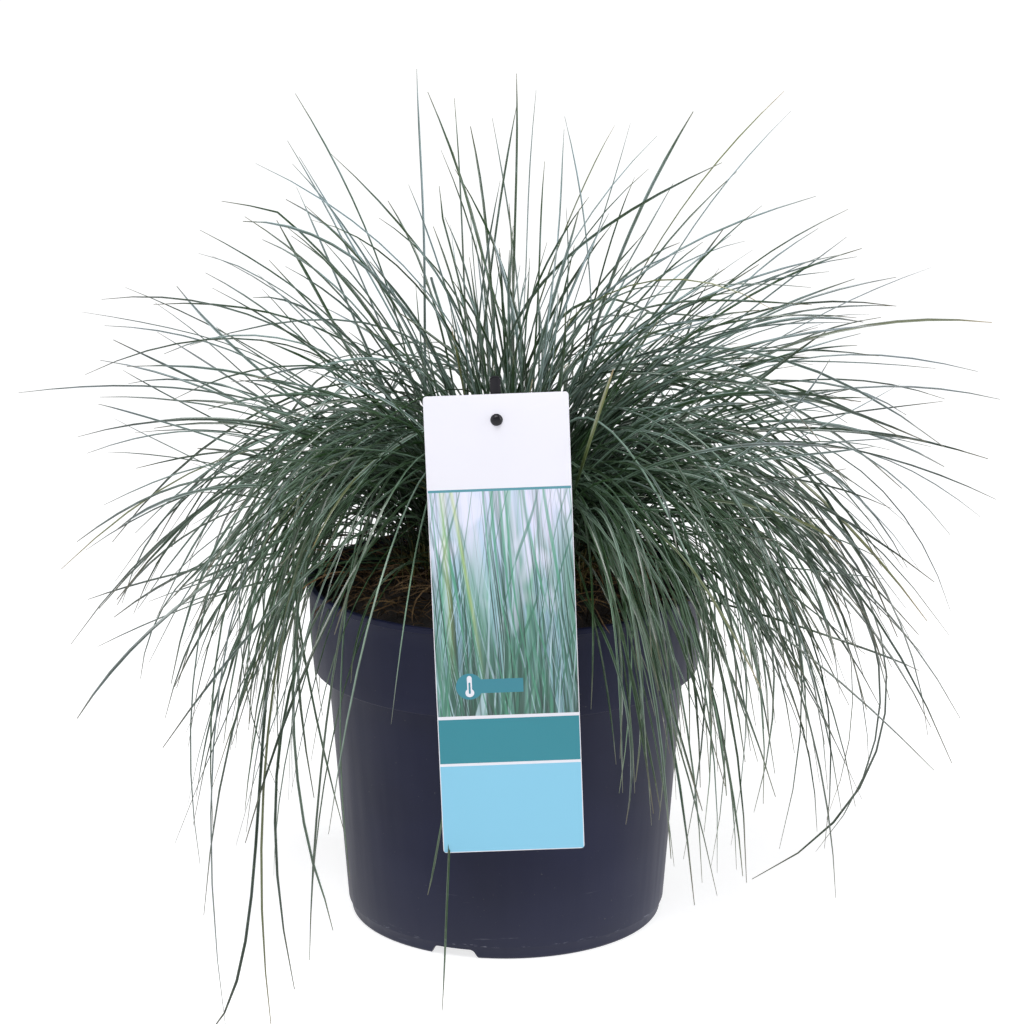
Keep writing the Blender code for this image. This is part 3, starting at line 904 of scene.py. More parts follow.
class Blades:
    """Many fine leaf blades as one joined mesh, from an array of Bezier control points.

    Each blade is a closed needle with a folded section of four corners: two edges, a keel
    and a groove. It carries its shade, its place along and across, and its age.
    """

    def __init__(self, rng, control, width, rows=18, twist=1.2, folded=0.0):
        self.control = control
        self.width = width
        self.rows = rows
        count = len(control)
        self.shade = rng.random(count)
        self.age = np.where(rng.random(count) < AGED_SHARE, rng.uniform(0.3, 0.8, count), 0.0)
        self.roll = rng.uniform(-0.9, 0.9, count)
        self.twist = rng.normal(0.0, twist, count)
        self.wave = rng.normal(0.0, 0.7 * MM, (count, 2, 3))
        self.phase = rng.uniform(0, math.tau, (count, 2))
        self.fold_at = rng.integers(rows // 3, rows, count) / rows
        self.fold = rng.normal((0.0, 0.0, -0.2), 0.2, (count, 3)) * (rng.random((count, 1)) < folded)

    def spine(self):
        t = np.linspace(0, 1, self.rows + 1)
        line = bezier(self.control, t)
        for index, turns in enumerate((0.8, 1.9)):
            swing = np.sin(math.tau * turns * t[None] + self.phase[:, index, None]) * t[None]
            line = line + self.wave[:, index, None] * (swing / turns)[..., None]
        length = np.linalg.norm(self.control[:, 3] - self.control[:, 0], axis=1)
        past = np.maximum(t[None] - self.fold_at[:, None], 0) * length[:, None]
        return t, line + past[..., None] * self.fold[:, None]

    def corners(self):
        """The four corners of each blade's section at each row: (blade, row, corner, xyz)."""
        t, line = self.spine()
        forward = np.gradient(line, axis=1)
        forward /= np.linalg.norm(forward, axis=2, keepdims=True)
        chord = self.control[:, 3] - self.control[:, 0]
        side = np.cross(chord, UP)
        length = np.linalg.norm(side, axis=1, keepdims=True)
        side = np.where(length > 1e-6, side / np.maximum(length, 1e-6), (1.0, 0.0, 0.0))
        side = np.broadcast_to(side[:, None], line.shape)
        side = side - forward * np.sum(side * forward, axis=2, keepdims=True)
        side /= np.linalg.norm(side, axis=2, keepdims=True)
        face = np.cross(side, forward)
        angle = (self.roll[:, None] + self.twist[:, None] * t[None])[..., None]
        across = side * np.cos(angle) + face * np.sin(angle)
        out = face * np.cos(angle) - side * np.sin(angle)
        swell = 0.62 + 0.38 * np.sin(np.clip(t / 0.35, 0, 1) * math.pi / 2)
        point = np.clip((1 - t) / 0.12, 0.0, 1.0) ** 0.6
        half = 0.5 * self.width[:, None, None] * (swell * np.maximum(point, 0.26))[None, :, None]
        return np.stack(
            [
                line - across * half + out * half * 0.30,
                line - out * half * 0.62,
                line + across * half + out * half * 0.30,
                line + out * half * 0.02,
            ],
            axis=2,
        )

    def mesh(self, name):
        corners = self.corners()
        count, rows, sides = corners.shape[:3]
        index = np.arange(count * rows * sides).reshape(count, rows, sides)
        following = np.roll(index, -1, axis=2)
        walls = np.stack([index[:, :-1], following[:, :-1], following[:, 1:], index[:, 1:]], axis=-1)
        caps = np.stack([index[:, 0, ::-1], index[:, -1]], axis=1)
        quads = np.concatenate([walls.reshape(-1, 4), caps.reshape(-1, 4)])
        mesh = bpy.data.meshes.new(name)
        mesh.vertices.add(corners.size // 3)
        mesh.vertices.foreach_set("co", corners.reshape(-1).astype(np.float32))
        mesh.loops.add(quads.size)
        mesh.loops.foreach_set("vertex_index", quads.reshape(-1).astype(np.int32))
        mesh.polygons.add(len(quads))
        mesh.polygons.foreach_set("loop_start", np.arange(0, quads.size, 4, dtype=np.int32))
        mesh.update(calc_edges=True)
        mesh.shade_smooth()
        self.crease(mesh, sides)
        self.paint(mesh, count, rows, sides)
        self.unwrap(mesh, count, rows - 1, sides)
        mesh.validate()
        return mesh

    def crease(self, mesh, sides):
        """Keeps the long edges of every blade crisp: they join a corner to the next row's."""
        ends = np.empty(len(mesh.edges) * 2, np.int32)
        mesh.edges.foreach_get("vertices", ends)
        long_edge = np.abs(ends[0::2] - ends[1::2]) == sides
        layer = mesh.attributes.new("sharp_edge", "BOOLEAN", "EDGE")
        layer.data.foreach_set("value", long_edge)

    def paint(self, mesh, count, rows, sides):
        shape = (count, rows, sides)
        along = np.broadcast_to(np.linspace(0, 1, rows)[None, :, None], shape)
        across = np.broadcast_to(np.array((1.0, 0.25, 1.0, 0.0)), shape)
        values = {
            "shade": np.broadcast_to(self.shade[:, None, None], shape),
            "age": np.broadcast_to(self.age[:, None, None], shape),
            "along": along,
            "across": across,
        }
        for name, value in values.items():
            layer = mesh.attributes.new(name, "FLOAT", "POINT")
            layer.data.foreach_set("value", np.ascontiguousarray(value, np.float32).reshape(-1))

    def unwrap(self, mesh, count, strips, sides):
        """A map with a row for each blade: along it to the right, round it upwards."""
        start, end = 0.03, 0.97
        u = start + (end - start) * np.arange(strips + 1) / strips
        blade = np.arange(count)[:, None, None]
        low = (blade + (np.arange(sides) + 0.1)[None, None] / (sides + 0.2)) / count
        high = (blade + (np.arange(sides) + 1.1)[None, None] / (sides + 0.2)) / count
        shape = (count, strips, sides)
        left = np.broadcast_to(u[None, :-1, None], shape)
        right = np.broadcast_to(u[None, 1:, None], shape)
        low = np.broadcast_to(low, shape)
        high = np.broadcast_to(high, shape)
        walls = np.stack([left, low, left, high, right, high, right, low], axis=-1).reshape(-1, 8)
        bottom, top = np.arange(count) / count, (np.arange(count) + 0.9) / count
        caps = []
        for near, far in ((0.0, 0.02), (0.98, 1.0)):
            near, far = np.full(count, near), np.full(count, far)
            caps.append(np.stack([near, bottom, near, top, far, top, far, bottom], axis=-1))
        uv = np.concatenate([walls, np.stack(caps, 1).reshape(-1, 8)])
        layer = mesh.uv_layers.new(name="OFBake")
        layer.data.foreach_set("uv", uv.reshape(-1).astype(np.float32))


def tuft_plan():
    """Yields azimuth, root, rise, shoulder and tip of each tuft, as the CAD has them, then
    how its blades scatter: spread round the axis, nod outwards and tilt up or down, all in
    degrees, the shortest part of its length that a blade keeps, how far it may be
    straightened, how much steeper it leaves the crown than the plain solid does, and how
    many blades it has."""
    yield 60, 0, 80, (5, 330), (10, 413), 120, 0, 17, 0.50, 0.6, 1.0, 6
    for step in range(6):
        shoulder, tip = ((48, 290), (122, 388)) if step % 3 == 0 else ((34, 300), (88, 398))
        yield 60 * step, 16, 70, shoulder, tip, 34, 3, 18, 0.45, 0.6, 1.0, 8 if step % 3 == 0 else 4
    for step in range(12):
        count = fullness(30 * step, 28, 5)
        if step == 9:
            yield 30 * step, 34, 60, (58, 300), (104, 352), 24, 0, 14, 0.50, 0.6, 1.0, 15
        elif step % 2:
            yield 30 * step, 34, 75, (132, 300), (206, 226), 27, 0, 24, 0.60, 0.9, 1.3, count
        elif step % 6:
            yield 30 * step, 34, 75, (125, 318), (236, 292), 27, 2, 21, 0.50, 1.0, 1.2, count
        elif step:
            yield 30 * step, 34, 75, (125, 318), (236, 292), 23, -9, 24, 0.55, 1.0, 1.1, 38
        else:
            yield 30 * step, 34, 75, (125, 318), (236, 292), 25, -5, 14, 0.60, 0.5, 1.9, 52
    for step in range(14):
        azimuth = -54 + 288 / 13 * step
        reach = 8 * math.sin(2.4 * step)
        arch = (150, 282), (204 + reach, 108 - 2 * reach)
        count = 16 if step == 13 else 22 if step == 12 else fullness(azimuth, 32, -1)
        yield azimuth, 53, 58, *arch, 20, 0, 12, 0.68, 0.35, 2.1, count
    for azimuth, radius, height in SKIRT:
        hang = (radius - 7, 236), (radius, height)
        count = 14 if azimuth > 200 else fullness(azimuth, 33, -5)
        yield azimuth, 67, 48, *hang, 15, 0, 7, 0.74, 0.12, 2.6, count


def fullness(azimuth, middle, right):
    """How many blades a tuft has: more or fewer at the right, and fewer at the back."""
    angle = math.radians(azimuth)
    return round(middle + right * math.cos(angle) - 9 * max(0.0, math.sin(angle)))


# Azimuth of each hanging tuft, and its tip's radius and height in millimetres
SKIRT = (
    (-64, 150, 36),
    (-42, 146, 60),
    (-8, 150, 48),
    (26, 144, 70),
    (64, 150, 52),
    (100, 146, 66),
    (136, 150, 50),
    (172, 146, 64),
    (206, 152, 40),
    (238, 212, 5),
)


# Tip of each long single blade, x, y and z in millimetres, and the angle it ends at, in
# degrees above the horizontal
LONE_BLADES = (
    (-200, 0, 297, 5),
    (-193, 20, 285, 0),
    (-197, -15, 268, -25),
    (-232, 10, 255, -8),
    (-199, -30, 243, -14),
    (-200, 0, 228, -22),
    (-178, 15, 218, -12),
    (-190, -20, 208, -24),
    (-205, 0, 184, -38),
    (-197, -25, 187, -36),
    (-184, 20, 186, -30),
    (-176, -30, 176, -52),
    (-160, 10, 154, -50),
    (-178, -10, 151, -70),
    (-186, 15, 149, -72),
    (-143, 0, 337, 27),
    (-150, 25, 323, 20),
    (-120, -20, 345, 35),
    (-98, 10, 398, 56),
    (-92, -20, 350, 42),
    (-41, 0, 412, 74),
    (-25, 25, 395, 76),
    (-45, -15, 360, 66),
    (5, 5, 408, 84),
    (18, -25, 372, 82),
    (26, 10, 386, 72),
    (46, 20, 401, 74),
    (60, -10, 362, 62),
    (87, 0, 391, 58),
    (131, 10, 400, 44),
    (135, 30, 385, 42),
    (118, -20, 350, 40),
    (161, 0, 345, 26),
    (150, 35, 330, 30),
    (181, -20, 318, 12),
    (201, 10, 316, 20),
    (232, 20, 287, -6),
    (221, -15, 271, -14),
    (233, -10, 256, -12),
    (211, 25, 248, -20),
    (198, -30, 240, -10),
    (232, 10, 222, -18),
    (207, -10, 223, -30),
    (234, 0, 205, -26),
    (231, 25, 190, -40),
    (210, -25, 194, -52),
    (194, 15, 167, -64),
    (214, 0, 150, -72),
    (203, -20, 92, -84),
    (-150, -20, 62, -80),
    (-128, 10, 45, -84),
    (-118, -40, 72, -82),
    (-165, 0, 95, -76),
    (-108, -60, 35, -88),
    (121, 0, 14, -158),
    (150, -20, 34, -128),
    (158, 10, 40, -112),
    (177, 0, 70, -88),
    (160, -25, 12, -86),
    (123, -45, 8, -80),
    (111, -70, 40, -86),
    (-72, -90, 145, -80),
    (-37, -104, 114, -86),
    (-42, -108, 108, -86),
    (-47, -110, 89, -84),
    (-70, -112, 44, -80),
    (-73, -100, 52, -86),
    (-76, -94, 92, -82),
    (-89, -90, 44, -86),
    (-94, -80, 75, -84),
    (54, -106, 96, -82),
    (50, -112, 110, -84),
    (62, -108, 78, -78),
    (63, -112, 67, -78),
    (60, -104, 88, -80),
    (58, -114, 74, -76),
    (66, -106, 84, -78),
    (48, -116, 64, -86),
    (51, -108, 60, -86),
    (43, -114, 57, -70),
    (63, -98, 95, -80),
    (72, -102, 72, -80),
    (89, -88, 80, -76),
    (86, -98, 44, -82),
    (91, -92, 48, -80),
    (107, -70, 67, -70),
    (108, -80, 48, -86),
    (104, -78, 83, -84),
    (78, -110, 60, -78),
    (70, -118, 90, -76),
)


# Control points, in millimetres, of blades whose bend is their own: two that hang behind the
# card and show below it, and the long ones that trail at the left and curl back inwards
TRAILING_BLADES = (
    ((-22, -97.8, 200), (-24, -97.8, 140), (-27, -78, 40), (-29, -140, 2)),
    ((-20, -97.8, 180), (-22, -97.8, 130), (-26, -84, 80), (-36, -112, 46)),
    ((-20, -25, 200), (-75, -85, 330), (-150, -165, 230), (-124, -176, 3)),
    ((-10, -35, 200), (-150, -70, 330), (-80, -186, 60), (-133, -172, 3)),
    ((-20, -40, 200), (-80, -80, 320), (-122, -165, 180), (-103, -170, 3)),
    ((-15, -20, 200), (-95, -60, 330), (-118, -130, 120), (-76, -112, 30)),
    ((-10, -30, 200), (-60, -70, 320), (-86, -125, 150), (-90, -120, 18)),
    ((-15, -20, 200), (-125, -55, 310), (-100, -110, 180), (-74, -105, 76)),
    ((-10, -25, 200), (-70, -60, 300), (-85, -100, 160), (-73, -92, 48)),
    ((-20, -10, 200), (-110, -40, 310), (-158, -100, 190), (-140, -100, 58)),
    ((-20, -20, 200), (-100, -50, 330), (-150, -90, 200), (-104, -96, 92)),
)


def shortened(control, part):
    """The first part of each Bezier curve, as a Bezier curve of its own."""
    part = part[:, None]
    a, b, c, d = (control[:, i] for i in range(4))
    ab, bc, cd = a + (b - a) * part, b + (c - b) * part, c + (d - c) * part
    abc, bcd = ab + (bc - ab) * part, bc + (cd - bc) * part
    return np.stack([a, ab, abc, abc + (bcd - abc) * part], axis=1)


def clear_of_things(line):
    """Which curves keep inside the foliage's room and clear of card, stake, pot and floor."""
    x, y, z = line[..., 0], line[..., 1], line[..., 2]
    card_x = HOLE_X + (CARD_TOP - HOLE_DROP - z) * math.tan(CARD_TURN)
    beside = np.abs(x - card_x)
    beside_card = (beside < CARD_WIDTH / 2 + CARD_MARGIN) & (y < BEHIND_CARD_Y)
    beside_stake = (beside < STAKE_MARGIN) & (y < BEHIND_STAKE_Y)
    bad = (beside_card | beside_stake) & (z < CARD_TOP + 10 * MM) & (z > 58 * MM)
    radius = np.hypot(x, y)
    bad |= (z < POT_HEIGHT + 0.8 * MM) & (np.abs(radius - RIM_RADIUS + 1.6 * MM) < 2.4 * MM)
    bad |= z < 1.2 * MM
    in_soil = (radius < RIM_RADIUS - 4 * MM) & (z < soil_height(radius) + 0.5 * MM)
    in_soil[:, :2] = False
    bad |= in_soil
    low, high = np.array(CAD_BOX[0]) - ROOM_MARGIN, np.array(CAD_BOX[1]) + ROOM_MARGIN
    bad |= np.any((line < low) | (line > high), axis=-1)
    return ~np.any(bad, axis=1)


def in_parting(line):
    """Which curves hang through the parting at the front left, where the compost shows."""
    azimuth = np.degrees(np.arctan2(line[..., 1], line[..., 0]))
    radius = np.hypot(line[..., 0], line[..., 1])
    inside = (azimuth > PARTING_AZIMUTHS[0]) & (azimuth < PARTING_AZIMUTHS[1])
    inside &= (radius > PARTING_RADII[0]) & (radius < PARTING_RADII[1])
    return np.any((inside & (line[..., 2] < PARTING_TOP))[:, 4:], axis=1)


def tuft_control(rng, tuft):
    """Control points of blades scattered about one tuft's own curve: each is the same curve
    in its upright plane, resized, straightened, tilted about its foot, swung round and cut."""
    azimuth, root, rise, shoulder, tip, spread, nod, tilt, shortest, most_straight, lift, count = tuft
    foot = root * MM * rng.uniform(0.2, 0.8, count)
    ground = crown_height(foot) - FOOT_SINK
    curve = np.zeros((count, 4, 2))
    curve[:, 1, 1] = rise * MM * lift * rng.uniform(0.75, 1.1, count)
    for index, point in ((2, shoulder), (3, tip)):
        curve[:, index, 0] = point[0] * MM - foot
        curve[:, index, 1] = point[1] * MM - ground
    drawn_in = 0.42 * max(0.0, -math.cos(math.radians(azimuth))) * (root > 34)
    curve[..., 0] *= 1 - drawn_in * rng.random((count, 1))
    chord = curve[:, 3:] * np.linspace(0, 1, 4)[None, :, None]
    straight = rng.uniform(0.0, most_straight, count)[:, None, None]
    curve = curve + (chord - curve) * straight
    curve = curve * rng.normal(1.0, 0.06, count)[:, None, None]
    curve = curve * (1 + rng.normal(0, 0.12, (count, 4, 2)))
    lean = rng.normal(math.radians(nod), math.radians(tilt), count)[:, None]
    out = curve[..., 0] * np.cos(lean) + curve[..., 1] * np.sin(lean)
    up = curve[..., 1] * np.cos(lean) - curve[..., 0] * np.sin(lean)
    swing = rng.normal(0.0, math.radians(spread), count)
    heading = math.radians(azimuth) + swing
    bend = rng.normal(0.0, math.radians(16), count)[:, None] * np.array((0.0, -0.6, 0.2, 1.0))
    start = polar(foot, math.radians(azimuth) + 0.35 * swing, ground)
    start[:, :2] += rng.normal(0, 4.0 * MM, (count, 2))
    whole = start[:, None] + polar(out, heading[:, None] + bend, up)
    part = shortest + (1 - shortest) * rng.beta(1.5, 1.2, count)
    return shortened(whole, part)


def filled(rng, tuft):
    """Draws blades until the tuft has its number, clear of the card, stake, pot and floor."""
    count = tuft[-1]
    kept = np.zeros((0, 4, 3))
    for _ in range(12):
        control = tuft_control(rng, tuft)
        line = bezier(control, SAMPLES)
        reach = np.linalg.norm(control[:, 3] - (0, 0, CROWN_MIDDLE), axis=1)
        keep = clear_of_things(line) & (reach < LONGEST_REACH)
        keep &= ~in_parting(line) | (rng.random(len(control)) < IN_PARTING_SHARE)
        kept = np.concatenate([kept, control[keep]])
        if len(kept) >= count:
            break
    return kept[:count]


def lone_control(rng):
    """Control points of the long single blades that give the clump its outline. Each leaves
    the crown at the angle that makes its bend even from end to end."""
    tips = np.array([blade[:3] for blade in LONE_BLADES]) * MM
    end_angle = np.radians([blade[3] for blade in LONE_BLADES])
    count = len(tips)
    azimuth = np.arctan2(tips[:, 1], tips[:, 0])
    radius = rng.uniform(12, 45, count) * MM
    start = polar(radius, azimuth + rng.normal(0, 0.35, count), crown_height(radius) - FOOT_SINK)
    chord = tips - start
    flat = np.linalg.norm(chord[:, :2], axis=1)
    length = np.linalg.norm(chord, axis=1)
    heading = np.arctan2(chord[:, 1], chord[:, 0])
    chord_angle = np.arctan2(chord[:, 2], flat)
    start_angle = np.clip(2 * chord_angle - end_angle, math.radians(60), math.radians(86))
    start_angle = np.where(chord_angle > math.radians(25), 2 * chord_angle - end_angle, start_angle)
    reach = length * (0.34 + 0.42 * ((start_angle - end_angle) / math.pi) ** 2)
    one = start + polar(reach * np.cos(start_angle), heading, reach * np.sin(start_angle))
    two = tips - polar(reach * np.cos(end_angle), heading, reach * np.sin(end_angle))
    return np.stack([start, one, two, tips], axis=1)


class FESCUE_OT_foliage(bpy.types.Operator):
    """Grow the leaf blades of every tuft, in place of the tuft's plain solid"""

    bl_idname = "fescue.foliage"
    bl_label = "Leaf blades"

    def execute(self, context):
        settings = context.scene.fescue_plant
        rng = np.random.default_rng(settings.seed)
        leaf = leaf_blade(settings)
        tufts = list(tuft_plan())
        lone = lone_control(rng)
        lone = lone[clear_of_things(bezier(lone, SAMPLES))]
        lone = np.concatenate([lone, np.array(TRAILING_BLADES) * MM])
        angle = np.radians([tuft[0] for tuft in tufts])
        radius, height = np.array([tuft[4] for tuft in tufts]).T * MM
        tips = polar(radius, angle, height)
        nearest = np.argmin(np.linalg.norm(lone[:, None, 3] - tips[None], axis=2), axis=1)
        for index, tuft in enumerate(tufts):
            control = np.concatenate([filled(rng, tuft), lone[nearest == index]])
            width = settings.blade_width * rng.uniform(0.7, 1.35, len(control))
            blades = Blades(rng, control, width, folded=FOLDED_SHARE)
            blades.fold[~clear_of_things(blades.spine()[1])] = 0.0
            mesh = blades.mesh(f"blades_{index:02d}")
            add_piece(f"blades_{index:02d}", mesh, [leaf], "leaf", f"tuft_{index:02d}")
        return {"FINISHED"}


class FESCUE_OT_crown(bpy.types.Operator):
    """Lay the mound of shoot bases and its thatch of dead sheaths"""

    bl_idname = "fescue.crown"
    bl_label = "Crown and thatch"

    def execute(self, context):
        settings = context.scene.fescue_soil
        rng = np.random.default_rng(3)
        rows = 20
        radii = [CROWN_RADIUS * row / rows for row in range(rows + 1)]
        profile = [(radius, crown_height(radius)) for radius in radii]
        profile += [(radius, soil_height(radius) - 1 * MM) for radius in reversed(radii)]
        bm = turned_bmesh(profile, 96)
        for vert in bm.verts:
            if vert.co.z > soil_height(vert.co.xy.length):
                lump = noise.noise(vert.co / (6 * MM)) + 0.5 * noise.noise(vert.co / (2.5 * MM))
                vert.co.z += 2.0 * MM * lump - 1.0 * MM
        mesh = to_mesh(bm, "crown_mound")
        mesh.shade_smooth()
        add_piece("crown_mound", mesh, [compost(settings)], "thatch", "crown")

        count = THATCH_COUNT
        azimuth = rng.uniform(0, math.tau, count)
        radius = CROWN_RADIUS * np.sqrt(rng.uniform(0.02, 0.85, count))
        start = polar(radius, azimuth, crown_height(radius) - 2 * MM)
        heading = azimuth + rng.normal(0, 0.75, count)
        length = (12 + 40 * rng.random(count) ** 2) * MM
        rise = rng.uniform(0.1, 0.9, count)
        one = start + polar(length * 0.25, heading, length * rise * 0.6)
        two = start + polar(length * 0.6, heading, length * rise * 0.7)
        end = start + polar(length * 0.95, heading + rng.normal(0, 0.3, count), length * rise * 0.35)
        control = np.stack([start, one, two, end], axis=1)
        control = control[clear_of_things(bezier(control, SAMPLES))]
        width = rng.uniform(0.3, 0.9, len(control)) * MM
        thatch = Blades(rng, control, width, 9, 2.0, 0.3)
        add_piece("dead_thatch", thatch.mesh("dead_thatch"), [dead_leaf(settings)], "thatch")
        return {"FINISHED"}


# ---------------------------------------------------------------- label


def card_middle():
    """x and z of the card's centre, as it hangs turned about its hole."""
    drop = CARD_LENGTH / 2 - HOLE_DROP
    x = HOLE_X + drop * math.sin(CARD_TURN)
    return x, CARD_TOP - HOLE_DROP - drop * math.cos(CARD_TURN)


def card_bmesh():
    bm = bmesh.new()
    bmesh.ops.create_cube(bm, size=1.0)
    bmesh.ops.scale(bm, vec=(CARD_WIDTH, CARD_THICKNESS, CARD_LENGTH), verts=bm.verts)
    corners = [e for e in bm.edges if abs(e.verts[0].co.y - e.verts[1].co.y) > 0.1 * MM]
    bevel(bm, corners, CARD_CORNER, 8)
    outline = [e for e in bm.edges if abs(e.verts[0].co.y - e.verts[1].co.y) < 0.01 * MM]
    bevel(bm, outline, 0.12 * MM, 2)
    middle_x, middle_z = card_middle()
    place = Matrix.Translation((middle_x, CARD_BACK_Y - CARD_THICKNESS / 2, middle_z))
    turn = Matrix.Rotation(-CARD_TURN, 4, "Y")
    bmesh.ops.transform(bm, matrix=place @ turn, verts=bm.verts)
    return bm


def card_hole_cutter():
    bm = bmesh.new()
    place = Matrix.Translation((HOLE_X, CARD_BACK_Y, CARD_TOP - HOLE_DROP))
    forward = Matrix.Rotation(math.pi / 2, 4, "X")
    add_cylinder(bm, place @ forward, HOLE_RADIUS, 6 * MM, 48)
    return bm


def stake_bmesh():
    """The flat bar with a rounded top, softened edges and a point, leaning to the card."""
    length = (STAKE_TOP - STAKE_BOTTOM) / math.cos(STAKE_LEAN)
    bm = bmesh.new()
    bmesh.ops.create_cube(bm, size=1.0)
    for vert in bm.verts:
        vert.co.x *= STAKE_WIDTH
        vert.co.y *= STAKE_THICKNESS
        vert.co.z = 0.0 if vert.co.z > 0 else -length + 18 * MM
    ends = [e for e in bm.edges if all(v.co.z == 0 for v in e.verts)]
    ends = [e for e in ends if abs(e.verts[0].co.y - e.verts[1].co.y) > 1 * MM]
    bevel(bm, ends, 1.8 * MM, 8)
    bottom = min(bm.faces, key=lambda face: face.calc_center_median().z)
    point = bmesh.ops.extrude_discrete_faces(bm, faces=[bottom])["faces"][0]
    for vert in point.verts:
        vert.co = Vector((vert.co.x * 0.25, vert.co.y * 0.4, -length))
    sharp = [e for e in bm.edges if len(e.link_faces) == 2 and e.calc_face_angle(0) > 0.9]
    bevel(bm, sharp, 0.3 * MM, 2)
    top_x = HOLE_X - (STAKE_TOP - CARD_TOP + HOLE_DROP) * math.tan(CARD_TURN)
    top_y = CARD_BACK_Y + 0.3 * MM + STAKE_THICKNESS / 2
    place = Matrix.Translation((top_x, top_y, STAKE_TOP))
    place = place @ Matrix.Rotation(-CARD_TURN, 4, "Y") @ Matrix.Rotation(STAKE_LEAN, 4, "X")
    bmesh.ops.transform(bm, matrix=place, verts=bm.verts)
    return bm


def pin_bmesh():
    """The round pin through the card, with a softly domed end."""
    start = CARD_BACK_Y + STAKE_THICKNESS + 0.6 * MM
    end = CARD_BACK_Y - CARD_THICKNESS - PIN_PROUD
    profile = [(0.0, 0.0), (PIN_RADIUS, 0.0)]
    profile += arc((PIN_RADIUS - 1.5 * MM, start - end - 1.5 * MM), 1.5 * MM, 0, 75, 8)
    profile += [(0.0, start - end)]
    bm = turned_bmesh(profile, 40)
    place = Matrix.Translation((HOLE_X, start, CARD_TOP - HOLE_DROP))
    bmesh.ops.transform(bm, matrix=place @ Matrix.Rotation(math.pi / 2, 4, "X"), verts=bm.verts)
    return bm


class FESCUE_OT_label(bpy.types.Operator):
    """Print and hang the label card and stand its stake in the compost"""

    bl_idname = "fescue.label"
    bl_label = "Label and stake"

    def execute(self, context):
        settings = context.scene.fescue_label
        mesh = cut(to_mesh(card_bmesh(), "card_solid"), card_hole_cutter(), "hanging_card")
        smooth(mesh, 30)
        card = add_piece(
            "hanging_card", mesh, [card_stock(settings), printed_card(settings)], "card", "label_card"
        )
        for face in card.data.polygons:
            face.material_index = 1 if face.normal.y < -0.5 else 0
        bm = stake_bmesh()
        pin = to_mesh(pin_bmesh(), "pin")
        bm.from_mesh(pin)
        bpy.data.meshes.remove(pin)
        stake = to_mesh(bm, "card_stake")
        smooth(stake, 40)
        add_piece("card_stake", stake, [stake_plastic()], "stake_plastic", "label_stake")
        return {"FINISHED"}


# ---------------------------------------------------------------- stage


def add_softbox(name, place, target, size, power):
    light = bpy.data.lights.new(name, "AREA")
    light.shape = "RECTANGLE"
    light.size, light.size_y = size
    light.energy = power
    item = bpy.data.objects.new(name, light)
    item.location = place
    item.rotation_euler = (Vector(target) - Vector(place)).to_track_quat("-Z", "Y").to_euler()
    bpy.context.scene.collection.objects.link(item)


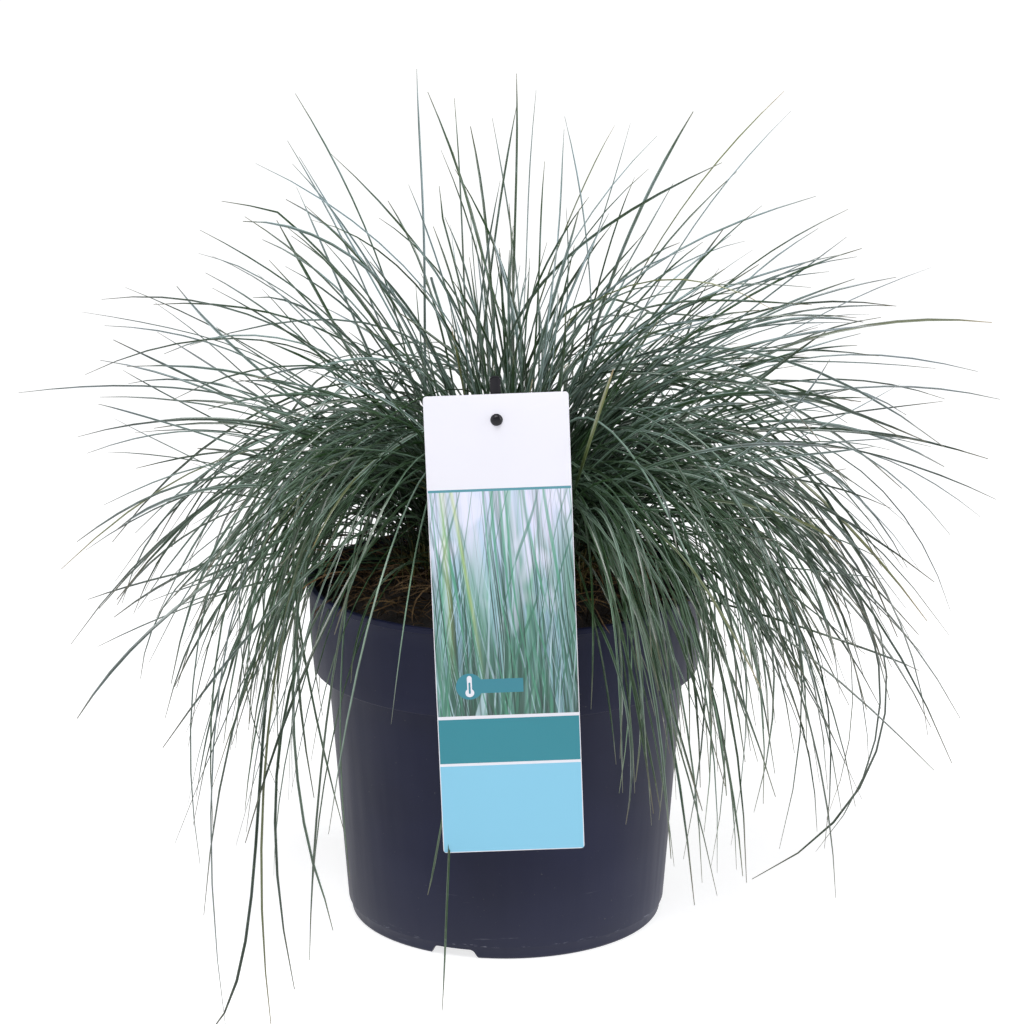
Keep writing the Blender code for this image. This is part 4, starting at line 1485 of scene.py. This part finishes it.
class FESCUE_OT_stage(bpy.types.Operator):
    """Set the pale floor, the soft studio light and the camera"""

    bl_idname = "fescue.stage"
    bl_label = "Stage"

    def execute(self, context):
        settings = context.scene.fescue_stage
        bm = bmesh.new()
        bmesh.ops.create_grid(bm, x_segments=1, y_segments=1, size=20.0)
        floor = bpy.data.objects.new("studio_floor", to_mesh(bm, "studio_floor"))
        context.scene.collection.objects.link(floor)
        material, add, shader = new_material("white_studio_floor")
        shader.inputs["Base Color"].default_value = (0.5, 0.5, 0.51, 1.0)
        shader.inputs["Roughness"].default_value = 0.9
        shader.inputs["Specular IOR Level"].default_value = 0.1
        shader.inputs["Emission Color"].default_value = (1.0, 1.0, 1.0, 1.0)
        away = add("VectorMath", object_place(add), operation="LENGTH")
        glow = add("MapRange", away, 0.6, 2.2, 0.76, 0.9)
        feed(shader, "Emission Strength", glow)
        floor.data.materials.append(material)

        world = bpy.data.worlds.new("studio_air")
        world.use_nodes = True
        background = world.node_tree.nodes["Background"]
        background.inputs["Color"].default_value = (0.95, 0.97, 1.0, 1.0)
        background.inputs["Strength"].default_value = 0.26
        context.scene.world = world

        middle = (0.0, 0.0, 0.18)
        add_softbox("softbox_left", (-1.5, -0.5, 0.7), middle, (0.5, 1.4), 4.2)
        add_softbox("softbox_right", (1.5, -0.3, 0.7), middle, (0.5, 1.4), 16.0)
        add_softbox("softbox_top", (-0.3, -0.8, 1.8), middle, (1.0, 1.0), 28.0)

        camera = bpy.data.cameras.new("studio_camera")
        camera.lens = settings.lens
        camera.sensor_width = 36.0
        item = bpy.data.objects.new("studio_camera", camera)
        item.location = (0.003, -settings.camera_distance, settings.camera_height)
        item.rotation_euler = (math.pi / 2 - settings.camera_tilt, 0.0, 0.0)
        context.scene.collection.objects.link(item)
        context.scene.camera = item
        context.scene.view_settings.view_transform = "Standard"
        return {"FINISHED"}


# ---------------------------------------------------------------- add-on


OPERATORS = (
    FESCUE_OT_pot,
    FESCUE_OT_compost,
    FESCUE_OT_crown,
    FESCUE_OT_foliage,
    FESCUE_OT_label,
    FESCUE_OT_stage,
)
GROUPS = {
    "fescue_pot": PotSettings,
    "fescue_plant": PlantSettings,
    "fescue_soil": SoilSettings,
    "fescue_label": LabelSettings,
    "fescue_stage": StageSettings,
}


class FESCUE_PT_panel(bpy.types.Panel):
    """The steps that build the potted fescue, in order"""

    bl_label = "Potted fescue"
    bl_idname = "FESCUE_PT_panel"
    bl_space_type = "VIEW_3D"
    bl_region_type = "UI"
    bl_category = "Fescue"

    def draw(self, context):
        for operator in OPERATORS:
            self.layout.operator(operator.bl_idname)


def register():
    for item in (*GROUPS.values(), *OPERATORS, FESCUE_PT_panel):
        bpy.utils.register_class(item)
    for name, group in GROUPS.items():
        setattr(bpy.types.Scene, name, PointerProperty(type=group))


def unregister():
    for name in GROUPS:
        delattr(bpy.types.Scene, name)
    for item in reversed((*GROUPS.values(), *OPERATORS, FESCUE_PT_panel)):
        bpy.utils.unregister_class(item)


def main():
    register()
    bpy.ops.fescue.pot()
    bpy.ops.fescue.compost()
    bpy.ops.fescue.crown()
    bpy.ops.fescue.foliage()
    bpy.ops.fescue.label()
    bpy.ops.fescue.stage()


if __name__ == "__main__":
    main()
